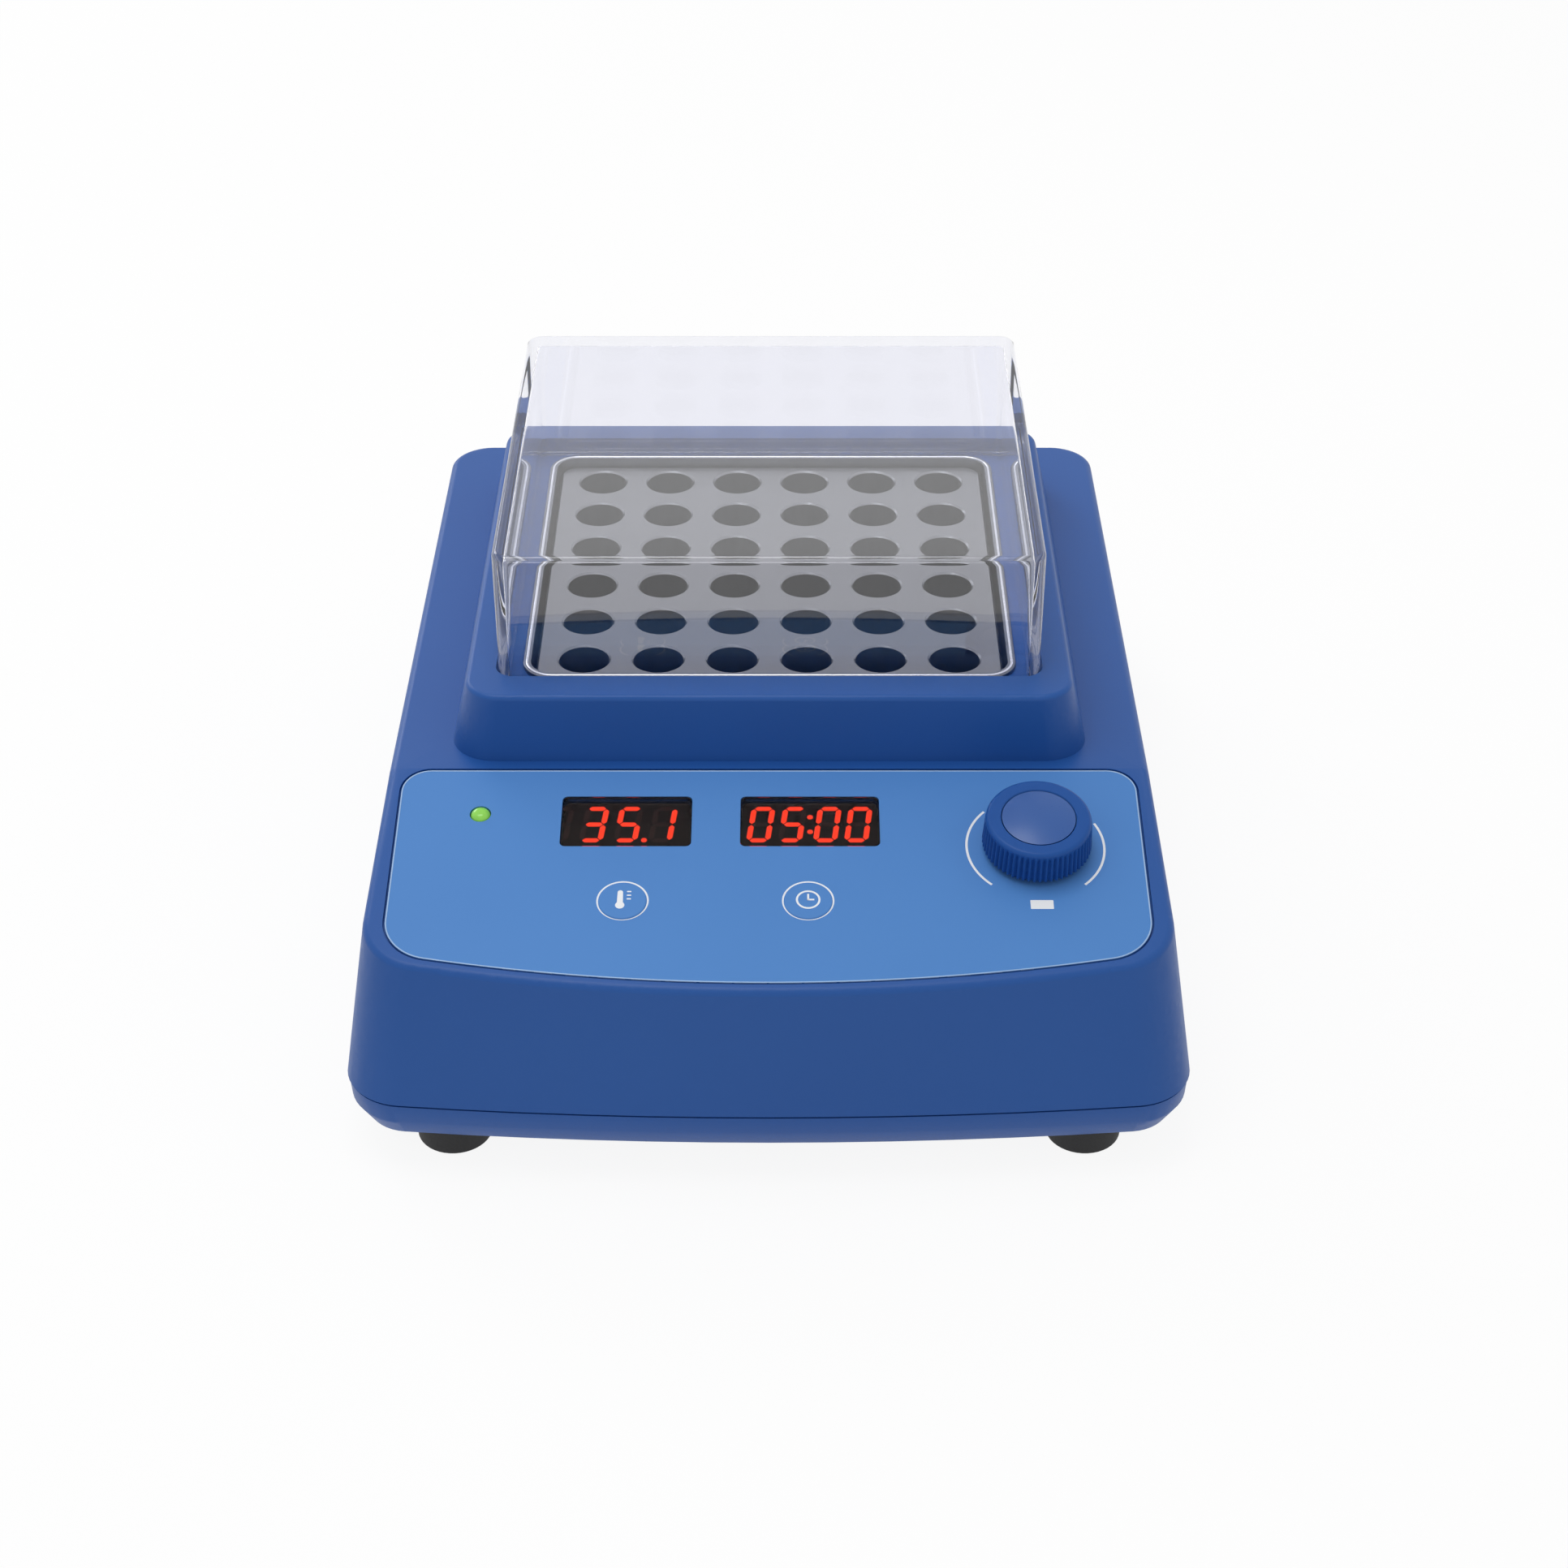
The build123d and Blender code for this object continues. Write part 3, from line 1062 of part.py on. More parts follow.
def power_rocker():
    """The rocker, tipped to its off side, with two stub pins."""
    reach, middle, back = ROCKER_RADIUS, ROCKER_FRONT, -ROCKER_BACK
    tip = middle + reach * tan(radians(ROCKER_TILT))
    line = Polyline((back, -reach), (tip, -reach), (middle, 0), (tip, reach), (back, reach), (back, -reach))
    profile = make_face(line) & Circle(ROCKER_RADIUS)
    body = extrude(Plane.YZ * profile, ROCKER_WIDTH / 2, both=True)
    body += rocker_pin(ROCKER_PIN, SWITCH_BODY[0] / 2 - ROCKER_PIN_END)
    return Pos(*ROCKER_PIVOT) * Rot(-ROCKER_TILT, 0, 0) * body


def foot_screws():
    """Screws that hold the feet."""
    head = FOOT_HOLE_DEPTH - FOOT_SCREW_Z
    screw = pan_screw(SMALL_SCREW_RADIUS, FOOT_SCREW_HEAD, head, FOOT_SCREW_Z, BASE_FLOOR_Z)
    return place_all(screw, foot_spots())


def housing_screws():
    """Long screws from under the base into the housing's bosses."""
    size = (CASE_SCREW_RADIUS, CASE_SCREW_HEAD, CASE_SCREW_HEAD_HEIGHT)
    screw = pan_screw(*size, CASE_SCREW_Z, CASE_SCREW_Z + CASE_SCREW_LENGTH)
    return place_all(screw, [Pos(x, y, 0) for x, y in case_screw_spots()])


def board_screws():
    """Screws of the control board, from its back."""
    back = BOARD_TOP - BOARD_THICKNESS
    size = (SMALL_SCREW_RADIUS, SMALL_HEAD_RADIUS, SMALL_HEAD)
    screw = pan_screw(*size, back - SMALL_HEAD, back + SMALL_SCREW_LENGTH)
    return place_all(screw, [panel(x, up) for x, up in BOARD_SPOTS])


def power_board_screws():
    """Screws of the power board."""
    return place_all(small_screw(POWER_BOARD_Z + BOARD_THICKNESS), power_board_spots())


def main():
    """Build every sub-part and write one STEP file each."""
    nodes = {
        "upper_housing": upper_housing(),
        "base_pan": base_pan(),
        "rubber_feet": place_all(rubber_foot(), foot_spots()),
        "foot_screws": foot_screws(),
        "housing_screws": housing_screws(),
        "control_overlay": control_overlay(),
        "temperature_window": display_window(*TEMPERATURE_WINDOW),
        "timer_window": display_window(*TIMER_WINDOW),
        "temperature_display": display_module(*TEMPERATURE_WINDOW),
        "timer_display": display_module(*TIMER_WINDOW),
        "indicator_lamp": indicator_lamp(),
        "lamp_spacer": lamp_spacer(),
        "temperature_key": key(*TEMPERATURE_KEY),
        "time_key": key(*TIME_KEY),
        "temperature_switch": key_switch(*TEMPERATURE_KEY),
        "time_switch": key_switch(*TIME_KEY),
        "control_knob": control_knob(),
        "knob_cap": knob_cap(),
        "encoder_shaft": encoder_shaft(),
        "encoder_plunger": encoder_plunger(),
        "encoder_body": encoder_body(),
        "encoder_nut": encoder_nut(),
        "control_board": control_board(),
        "control_board_parts": control_board_parts(),
        "control_board_screws": board_screws(),
        "power_board": power_board(),
        "power_board_parts": power_board_parts(),
        "power_board_screws": power_board_screws(),
        "heating_block": heating_block(),
        "block_liner": block_liner(),
        "heater_plate": heater_plate(),
        "heater_mat": heater_mat(),
        "lower_insulation": lower_insulation(),
        "side_insulation": side_insulation(),
        "cradle_plate": cradle_plate(),
        "cradle_screws": cradle_screws(),
        "heater_screws": heater_screws(),
        "heater_spacers": heater_spacers(),
        "thermal_cutout": thermal_cutout(),
        "temperature_probe": probe_rod(PROBE_RADIUS),
        "earth_stud": earth_stud(),
        "lid": lid(),
        "power_inlet": power_inlet(),
        "inlet_pins": inlet_pins(),
        "inlet_screws": inlet_screws(),
        "fuse_drawer": fuse_drawer(),
        "fuse": fuse(),
        "switch_bezel": switch_bezel(),
        "power_rocker": power_rocker(),
    }
    for name, shape in nodes.items():
        export_step(shape, f"parts/{name}.step")


main()
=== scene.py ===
"""The looks of a bench-top dry bath: its finishes, lit digits, panel print, lid, knob, studio and camera.

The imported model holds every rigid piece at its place. This file gives each one its finish, and replaces or
adds the pieces whose surfaces need more than the model holds. New surfaces are worked out on numpy grids:
a profile carried along a path, or a function of two parameters. Lengths are written in millimetres and
turned to metres by MM.
"""

import json
import logging
import math
from dataclasses import dataclass
from enum import Enum
from typing import Iterable, Sequence

import bpy
import numpy as np
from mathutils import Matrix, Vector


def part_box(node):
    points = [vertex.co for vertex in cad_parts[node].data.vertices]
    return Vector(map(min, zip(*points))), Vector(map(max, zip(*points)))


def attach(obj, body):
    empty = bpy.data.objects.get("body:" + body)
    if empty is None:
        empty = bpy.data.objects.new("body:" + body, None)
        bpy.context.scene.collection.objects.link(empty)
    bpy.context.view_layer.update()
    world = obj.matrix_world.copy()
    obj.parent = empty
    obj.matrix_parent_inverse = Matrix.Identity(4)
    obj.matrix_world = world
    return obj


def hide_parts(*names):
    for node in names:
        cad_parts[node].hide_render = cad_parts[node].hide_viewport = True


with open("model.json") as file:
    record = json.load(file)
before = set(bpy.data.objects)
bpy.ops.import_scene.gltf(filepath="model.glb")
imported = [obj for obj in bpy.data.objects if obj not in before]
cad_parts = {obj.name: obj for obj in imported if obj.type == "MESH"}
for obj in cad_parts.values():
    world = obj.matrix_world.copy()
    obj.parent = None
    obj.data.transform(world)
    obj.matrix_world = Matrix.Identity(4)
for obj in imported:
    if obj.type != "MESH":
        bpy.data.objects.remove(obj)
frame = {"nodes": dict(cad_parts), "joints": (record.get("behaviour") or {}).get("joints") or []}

MM = 0.001
WELD_MM = 0.002
LOG = logging.getLogger("dry_bath")
Array = np.ndarray


def linear(code: str) -> tuple[float, float, float, float]:
    """Turns an sRGB hex colour into the linear colour that a shader takes.

    Args:
        code: six hex digits after a hash.

    Returns:
        Red, green, blue and an alpha of one.
    """
    channels = np.array([int(code[i:i + 2], 16) for i in (1, 3, 5)]) / 255
    bright = np.where(channels <= 0.04045, channels / 12.92, ((channels + 0.055) / 1.055) ** 2.4)
    return (*bright.tolist(), 1.0)


def add_node(tree: bpy.types.NodeTree, kind: str, settings: dict | None = None, links: dict | None = None):
    """Adds one shader node with its settings and links.

    Args:
        tree: the node tree.
        kind: the node's type name.
        settings: values by the name of a property, or by the name or number of an input socket.
        links: output sockets by the name or number of the input that each feeds.

    Returns:
        The new node.
    """
    node = tree.nodes.new(kind)
    for key, value in (settings or {}).items():
        if isinstance(key, str) and key in node.bl_rna.properties:
            setattr(node, key, value)
        else:
            node.inputs[key].default_value = value
    for key, source in (links or {}).items():
        tree.links.new(source, node.inputs[key])
    return node


@dataclass(frozen=True)
class Finish:
    """A solid material with a fine grain: a base colour that drifts to a shade, a relief and a roughness.

    The grain and drift sizes are real sizes in millimetres, and the relief is the height of the grain.
    """

    name: str = "plain_solid"
    colour: str = "#808080"
    shade: str = "#707070"
    roughness: float = 0.5
    rough_spread: float = 0.06
    grain_mm: float = 0.5
    relief_mm: float = 0.01
    drift_mm: float = 40.0
    metallic: float = 0.0
    ior: float = 1.5
    specular: float = 0.5
    coat: float = 0.0
    coat_roughness: float = 0.1
    stretch: tuple[float, float, float] = (1.0, 1.0, 1.0)

    def material(self) -> bpy.types.Material:
        """Returns this finish's material, made once."""
        found = bpy.data.materials.get(self.name)
        if found:
            return found
        made = bpy.data.materials.new(self.name)
        made.use_nodes = True
        tree = made.node_tree
        tree.nodes.clear()
        spot = add_node(tree, "ShaderNodeTexCoord")
        place = add_node(
            tree, "ShaderNodeMapping", {"Scale": self.stretch}, {"Vector": spot.outputs["Object"]}
        )
        surface = self.surface(tree, place.outputs["Vector"])
        add_node(tree, "ShaderNodeOutputMaterial", links={"Surface": surface})
        return made

    def grain(self, tree: bpy.types.NodeTree, place) -> tuple:
        """Adds the fine noise of the grain and the slow noise of the drift.

        Args:
            tree: the material's node tree.
            place: the socket with the pattern's coordinates.

        Returns:
            The sockets of the fine and of the slow noise, each from 0 to 1.
        """
        fine = add_node(
            tree, "ShaderNodeTexNoise", {"Scale": 1 / (self.grain_mm * MM), "Detail": 3.0, "Roughness": 0.55},
            {"Vector": place},
        )
        slow = add_node(
            tree, "ShaderNodeTexNoise", {"Scale": 1 / (self.drift_mm * MM), "Detail": 2.0}, {"Vector": place}
        )
        return fine.outputs["Fac"], slow.outputs["Fac"]

    def tint(self, tree: bpy.types.NodeTree, share):
        """Adds the mix of the colour and the shade by a socket's share, and returns its output socket."""
        mix = add_node(
            tree, "ShaderNodeMix",
            {"data_type": "RGBA", 6: linear(self.colour), 7: linear(self.shade)}, {0: share},
        )
        return mix.outputs[2]

    def relief(self, tree: bpy.types.NodeTree, fine):
        """Adds the relief that the fine noise gives, and returns the socket with its normals."""
        bump = add_node(
            tree, "ShaderNodeBump", {"Strength": 1.0, "Distance": self.relief_mm * MM}, {"Height": fine}
        )
        return bump.outputs["Normal"]

    def surface(self, tree: bpy.types.NodeTree, place):
        """Adds the shader with its colour, relief and roughness, and returns its output socket."""
        fine, slow = self.grain(tree, place)
        rough = add_node(
            tree, "ShaderNodeMapRange",
            {"To Min": self.roughness - self.rough_spread, "To Max": self.roughness + self.rough_spread},
            {"Value": fine},
        )
        shader = add_node(
            tree, "ShaderNodeBsdfPrincipled",
            {
                "Metallic": self.metallic, "IOR": self.ior, "Specular IOR Level": self.specular,
                "Coat Weight": self.coat, "Coat Roughness": self.coat_roughness,
            },
            {
                "Base Color": self.tint(tree, slow), "Roughness": rough.outputs["Result"],
                "Normal": self.relief(tree, fine),
            },
        )
        return shader.outputs["BSDF"]


@dataclass(frozen=True)
class MouldedAbs(Finish):
    """ABS moulded in a spark-eroded tool: deep blue, satin, with a grain that only softens the highlights."""

    name: str = "moulded_abs_blue"
    colour: str = "#2457a0"
    shade: str = "#21529a"
    roughness: float = 0.4
    grain_mm: float = 0.45
    relief_mm: float = 0.006
    drift_mm: float = 60.0
    ior: float = 1.52
    specular: float = 0.25


@dataclass(frozen=True)
class KnobAbs(MouldedAbs):
    """The same ABS from a finer tool, with a quieter highlight on the fluted skirt and a colour a little
    darker: painted shade on the skirt.
    """

    name: str = "knob_abs_blue_painted_shade"
    # painted shade: a little darker than the housing's blue, for the shaded fluted skirt
    colour: str = "#22549d"
    shade: str = "#1f4f97"
    roughness: float = 0.34
    relief_mm: float = 0.003
    specular: float = 0.14


@dataclass(frozen=True)
class CapAbs(KnobAbs):
    """The knob's cap: the same ABS, polished, so its dome holds one soft highlight."""

    name: str = "polished_cap_abs"
    colour: str = "#24579f"
    shade: str = "#215199"
    roughness: float = 0.3
    specular: float = 0.45


@dataclass(frozen=True)
class PrintedPolycarbonate(Finish):
    """Polycarbonate film printed on its back: a lighter blue seen through a fine matt texture."""

    name: str = "printed_polycarbonate"
    colour: str = "#538acd"
    shade: str = "#4f85c8"
    roughness: float = 0.42
    grain_mm: float = 0.3
    relief_mm: float = 0.003
    drift_mm: float = 50.0
    ior: float = 1.58
    specular: float = 0.15


@dataclass(frozen=True)
class FilmEdgeHighlight(Finish):
    """The film's cut edge: a thin line painted paler than the face, a painted highlight for the light the
    edge catches.
    """

    name: str = "polycarbonate_edge_painted_highlight"
    # painted highlight: this pale colour stands in for the light the cut edge catches
    colour: str = "#9fc0e6"
    shade: str = "#8fb4de"
    roughness: float = 0.3
    grain_mm: float = 0.6
    relief_mm: float = 0.004
    drift_mm: float = 15.0
    ior: float = 1.58


@dataclass(frozen=True)
class ScreenInk(Finish):
    """White screen ink: opaque and matt, with the faint tooth of the mesh that laid it."""

    name: str = "white_screen_ink"
    colour: str = "#f4f6f8"
    shade: str = "#eceff3"
    roughness: float = 0.5
    grain_mm: float = 0.25
    relief_mm: float = 0.004
    drift_mm: float = 8.0


@dataclass(frozen=True)
class MilledAluminium(Finish):
    """Fly-cut and clear-anodised aluminium: a grey satin metal with fine tool lines across the block."""

    name: str = "milled_aluminium"
    colour: str = "#8d8e90"
    shade: str = "#858688"
    roughness: float = 0.3
    rough_spread: float = 0.05
    grain_mm: float = 0.35
    relief_mm: float = 0.0035
    drift_mm: float = 30.0
    metallic: float = 1.0
    stretch: tuple[float, float, float] = (0.12, 1.0, 1.0)


@dataclass(frozen=True)
class RolledSteel(Finish):
    """Stainless sheet of the block's tray: a mid grey with fine lines from front to back."""

    name: str = "stainless_sheet"
    colour: str = "#83868d"
    shade: str = "#7a7d85"
    roughness: float = 0.3
    grain_mm: float = 0.4
    relief_mm: float = 0.002
    metallic: float = 1.0
    stretch: tuple[float, float, float] = (1.0, 0.2, 1.0)


@dataclass(frozen=True)
class SteelEdgeHighlight(RolledSteel):
    """The crown of the tray's rolled edge: smooth steel with rendered reflections, its colour painted near
    white as a highlight, a thin bright line round the block.
    """

    name: str = "steel_edge_painted_highlight"
    # painted highlight: the near-white colour makes the bright line along the rim
    colour: str = "#e4e6ea"
    shade: str = "#dadde3"
    roughness: float = 0.16


@dataclass(frozen=True)
class ZincPlate(Finish):
    """Zinc-plated steel of screws, nuts and brackets: a bluish grey with a slight grain."""

    name: str = "zinc_plated_steel"
    colour: str = "#a9adb4"
    shade: str = "#9da1a9"
    roughness: float = 0.3
    grain_mm: float = 0.5
    relief_mm: float = 0.004
    drift_mm: float = 6.0
    metallic: float = 1.0


@dataclass(frozen=True)
class NickelBrass(Finish):
    """Turned brass with a thin nickel wash: warm pale metal of the blades, the bushing and the stud."""

    name: str = "nickel_washed_brass"
    colour: str = "#c9b88a"
    shade: str = "#bfac7a"
    roughness: float = 0.25
    grain_mm: float = 0.3
    relief_mm: float = 0.003
    drift_mm: float = 8.0
    metallic: float = 1.0


@dataclass(frozen=True)
class MouldedRubber(Finish):
    """Black nitrile rubber of the feet: nearly no gloss, with a dusty bloom."""

    name: str = "moulded_rubber"
    colour: str = "#151516"
    shade: str = "#1c1c1e"
    roughness: float = 0.68
    grain_mm: float = 0.6
    relief_mm: float = 0.02
    drift_mm: float = 10.0


@dataclass(frozen=True)
class GlassFilledNylon(Finish):
    """Black glass-filled nylon of the inlet, the switch and the drawer: a dry satin with a fine grain."""

    name: str = "glass_filled_nylon"
    colour: str = "#161618"
    shade: str = "#1d1d20"
    roughness: float = 0.45
    grain_mm: float = 0.35
    relief_mm: float = 0.008
    drift_mm: float = 12.0
    ior: float = 1.53


@dataclass(frozen=True)
class DisplayBody(Finish):
    """The display's filled epoxy body: a warm near-black that the lens turns into black glass."""

    name: str = "display_epoxy_body"
    colour: str = "#1d1616"
    shade: str = "#221a19"
    roughness: float = 0.6
    grain_mm: float = 0.4
    relief_mm: float = 0.006
    drift_mm: float = 7.0
    specular: float = 0.1


@dataclass(frozen=True)
class GlassFibreBoard(Finish):
    """Green solder mask over woven glass: a glossy skin with the weave just showing."""

    name: str = "glass_fibre_board"
    colour: str = "#1c5a35"
    shade: str = "#174d2d"
    roughness: float = 0.28
    grain_mm: float = 0.8
    relief_mm: float = 0.006
    drift_mm: float = 12.0


@dataclass(frozen=True)
class SiliconeMat(Finish):
    """Silicone rubber heater: brick red, soft and dull."""

    name: str = "silicone_heater_mat"
    colour: str = "#a8432a"
    shade: str = "#9b3b25"
    roughness: float = 0.6
    grain_mm: float = 0.9
    relief_mm: float = 0.03
    drift_mm: float = 18.0


@dataclass(frozen=True)
class MineralFibre(Finish):
    """Pressed mineral fibre: off-white, matt and fibrous."""

    name: str = "mineral_fibre"
    colour: str = "#d9d4c6"
    shade: str = "#c9c3b2"
    roughness: float = 0.9
    grain_mm: float = 0.7
    relief_mm: float = 0.15
    drift_mm: float = 9.0
    stretch: tuple[float, float, float] = (0.3, 1.0, 1.0)


@dataclass(frozen=True)
class Steatite(Finish):
    """Glazed steatite of the heater's spacers: a creamy white ceramic."""

    name: str = "steatite"
    colour: str = "#e4dfd2"
    shade: str = "#dad4c5"
    roughness: float = 0.25
    grain_mm: float = 0.8
    relief_mm: float = 0.006
    drift_mm: float = 5.0


@dataclass(frozen=True)
class Clear(Finish):
    """A clear solid that bends light: its tint is taken up on the way in and on the way out."""

    name: str = "clear_solid"
    colour: str = "#ffffff"
    shade: str = "#ffffff"
    roughness: float = 0.0
    rough_spread: float = 0.0
    ior: float = 1.49
    grain_mm: float = 3.0
    relief_mm: float = 0.0004
    coat_ior: float = 1.5

    def surface(self, tree: bpy.types.NodeTree, place):
        """Adds a transmitting shader with a drifting tint and a hint of waviness, and returns its output."""
        fine, slow = self.grain(tree, place)
        shader = add_node(
            tree, "ShaderNodeBsdfPrincipled",
            {
                "Roughness": self.roughness, "IOR": self.ior, "Transmission Weight": 1.0,
                "Specular IOR Level": self.specular,
                "Coat Weight": self.coat, "Coat Roughness": self.coat_roughness, "Coat IOR": self.coat_ior,
            },
            {"Base Color": self.tint(tree, slow), "Normal": self.relief(tree, fine)},
        )
        return shader.outputs["BSDF"]


@dataclass(frozen=True)
class CastAcrylic(Clear):
    """Clear moulded acrylic of the lid: water white, with a lavender cast in its edges.

    Its IOR is far below the real 1.49, which turned the edges black. The coat gives back the reflections.
    """

    name: str = "clear_acrylic"
    colour: str = "#fafaff"
    shade: str = "#f6f7fd"
    ior: float = 1.08
    coat: float = 1.0
    coat_roughness: float = 0.0
    coat_ior: float = 1.62


@dataclass(frozen=True)
class SmokedAcrylic(Clear):
    """Smoked acrylic of the two windows: dark, with little glare, so that the lit segments show through."""

    name: str = "smoked_acrylic"
    colour: str = "#b09c99"
    shade: str = "#a89491"
    drift_mm: float = 20.0
    ior: float = 1.2


@dataclass(frozen=True)
class FuseGlass(Clear):
    """Soda glass of the fuse's tube."""

    name: str = "fuse_glass"
    colour: str = "#eef6f2"
    shade: str = "#e6f0ea"
    ior: float = 1.52


@dataclass(frozen=True)
class LitSegment(Finish):
    """A lit display segment: red-orange light spread evenly by its plastic light guide."""

    name: str = "lit_segment"
    colour: str = "#ff3a1c"
    shade: str = "#ff4a26"
    grain_mm: float = 1.2
    strength: float = 2.2

    def surface(self, tree: bpy.types.NodeTree, place):
        """Adds a glowing shader whose colour drifts along the guide, and returns its output socket."""
        fine, _ = self.grain(tree, place)
        shader = add_node(
            tree, "ShaderNodeBsdfPrincipled",
            {
                "Base Color": linear(self.shade), "Roughness": self.roughness,
                "Emission Strength": self.strength,
            },
            {"Emission Color": self.tint(tree, fine)},
        )
        return shader.outputs["BSDF"]


@dataclass(frozen=True)
class DarkSegment(Finish):
    """An unlit segment: its light guide shows as a faint red-brown ghost in the display's body."""

    name: str = "dark_segment"
    colour: str = "#3a1713"
    shade: str = "#351411"
    roughness: float = 0.5
    grain_mm: float = 1.0
    relief_mm: float = 0.004
    drift_mm: float = 5.0


@dataclass(frozen=True)
class GreenLens(LitSegment):
    """Diffused green epoxy of the lamp, lit from below: a green with brighter, yellower patches."""

    name: str = "green_epoxy_lens"
    colour: str = "#2f7d33"
    shade: str = "#86c94a"
    grain_mm: float = 2.0
    strength: float = 0.3
    roughness: float = 0.15


def smooth(piece: bpy.types.Object, angle: float = 34.0) -> None:
    """Shades a piece smooth with crisp edges where its faces turn by more than an angle.

    Args:
        piece: the object, with loose or joined faces.
        angle: the turn in degrees above which an edge stays crisp.
    """
    mesh = piece.data
    mesh.polygons.foreach_set("use_smooth", np.ones(len(mesh.polygons), bool))
    weld = piece.modifiers.new("weld", "WELD")
    weld.merge_threshold = WELD_MM * MM
    split = piece.modifiers.new("crisp_edges", "EDGE_SPLIT")
    split.split_angle = math.radians(angle)
    weight = piece.modifiers.new("even_normals", "WEIGHTED_NORMAL")
    weight.keep_sharp = True


def dress(nodes: Iterable[str], finish: Finish, angle: float = 34.0) -> None:
    """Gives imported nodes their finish.

    Args:
        nodes: the nodes' names.
        finish: what they are made of.
        angle: the turn in degrees above which an edge stays crisp.
    """
    for name in nodes:
        piece = frame["nodes"][name]
        piece.data.materials.clear()
        piece.data.materials.append(finish.material())
        smooth(piece, angle)
        LOG.info("dressed %s in %s", name, finish.name)


def add_piece(
    name: str, points: Array, faces: Sequence, finish: Finish, body: str,
    replaces: Sequence[str] = (), crisp: float | None = None,
) -> bpy.types.Object:
    """Makes a piece from points and faces and joins it to its body.

    Args:
        name: the piece's name.
        points: one row of x, y, z in metres for each vertex.
        faces: the vertex numbers of each face, outwards.
        finish: what it is made of.
        body: the body that it rides on.
        replaces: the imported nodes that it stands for.
        crisp: the turn in degrees above which an edge stays crisp, or None for a flat-shaded piece.

    Returns:
        The new object.
    """
    mesh = bpy.data.meshes.new(name)
    corners = np.asarray(points, float).reshape(-1, 3).tolist()
    mesh.from_pydata(corners, [], [list(map(int, face)) for face in faces])
    mesh.validate()
    piece = bpy.data.objects.new(name, mesh)
    bpy.context.scene.collection.objects.link(piece)
    mesh.materials.append(finish.material())
    if crisp is not None:
        smooth(piece, crisp)
    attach(piece, body)
    if replaces:
        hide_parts(*replaces)
    LOG.info("made %s: %d faces on %s", name, len(mesh.polygons), body)
    return piece


def tube_faces(rings: int, around: int, closed_rings: bool = False) -> Array:
    """The quads of a grid that closes on itself in its second direction.

    Args:
        rings: how many rings of points there are.
        around: how many points a ring has.
        closed_rings: whether the last ring joins the first.

    Returns:
        One row of four vertex numbers for each quad.
    """
    row = np.arange(rings if closed_rings else rings - 1)[:, None]
    step = np.arange(around)[None, :]
    a, b = row * around, ((row + 1) % rings) * around
    after = (step + 1) % around
    return np.stack([a + step, a + after, b + after, b + step], -1).reshape(-1, 4)


def revolve(profile: Array, around: int, wave: Array | None = None) -> tuple[Array, list]:
    """Turns a profile about the axis, x = r cos t, y = r sin t, with the radius cut by a wave.

    Args:
        profile: rows of radius and height, from the bottom of the axis round to the top of the axis.
        around: how many steps a turn has.
        wave: what to take off the radius, one row for each profile row and one column for each step.

    Returns:
        The points in millimetres and the faces, closed at both ends.
    """
    turn = np.linspace(0, 2 * math.pi, around, endpoint=False)
    radius = profile[:, :1] - (0 if wave is None else wave)
    radius = np.broadcast_to(radius, (len(profile), around))
    height = np.broadcast_to(profile[:, 1:], (len(profile), around))
    points = np.stack([radius * np.cos(turn), radius * np.sin(turn), height], -1).reshape(-1, 3)
    faces = tube_faces(len(profile), around).tolist()
    last = (len(profile) - 1) * around
    faces.append(list(range(around))[::-1])
    faces.append([last + i for i in range(around)])
    return points, faces


def arc(centre: tuple[float, float], radius: float, start: float, end: float, steps: int) -> Array:
    """Points on an arc, centre + radius (cos t, sin t), with the angles in degrees."""
    turn = np.radians(np.linspace(start, end, steps))
    return np.column_stack([centre[0] + radius * np.cos(turn), centre[1] + radius * np.sin(turn)])


def rounded_rectangle(half_x: float, half_y: float, radius: float, steps: int = 8) -> Array:
    """A closed outline of four quarter arcs, anticlockwise from the lower right corner.

    Args:
        half_x: half the width.
        half_y: half the height.
        radius: the corners' radius.
        steps: the points of each arc.

    Returns:
        One row of x and y for each point.
    """
    corners = [(1, -1, -90), (1, 1, 0), (-1, 1, 90), (-1, -1, 180)]
    x, y = half_x - radius, half_y - radius
    return np.concatenate([arc((sx * x, sy * y), radius, a, a + 90, steps) for sx, sy, a in corners])


def rounded_box_rings(sections: Sequence[tuple[float, float, float, float]], steps: int = 8) -> Array:
    """Rounded rectangles stacked along a profile.

    Args:
        sections: half width, half depth, corner radius and height of each ring.
        steps: the points of each corner.

    Returns:
        The rings as an array of rings, points and coordinates.
    """
    rings = []
    for half_x, half_y, radius, height in sections:
        outline = rounded_rectangle(half_x, half_y, radius, steps)
        rings.append(np.column_stack([outline, np.full(len(outline), height)]))
    return np.array(rings)


def sweep(path: Array, profile: Array, closed: bool) -> tuple[Array, list]:
    """Carries a closed profile along a flat path: point = path + side * offset, at the profile's height.

    Args:
        path: rows of x and y.
        profile: rows of offset to the right of the path and height, clockwise seen along the path.
        closed: whether the path's end joins its start.

    Returns:
        The points and the faces.
    """
    if closed:
        run = np.roll(path, -1, 0) - np.roll(path, 1, 0)
    else:
        run = np.gradient(path, axis=0)
    run /= np.linalg.norm(run, axis=1, keepdims=True)
    side = np.column_stack([run[:, 1], -run[:, 0]])
    flat = path[:, None, :] + side[:, None, :] * profile[None, :, :1]
    height = np.broadcast_to(profile[None, :, 1:], (len(path), len(profile), 1))
    points = np.concatenate([flat, height], -1).reshape(-1, 3)
    faces = tube_faces(len(path), len(profile), closed).tolist()
    if not closed:
        last = (len(path) - 1) * len(profile)
        faces += [list(range(len(profile)))[::-1], [last + i for i in range(len(profile))]]
    return points, faces


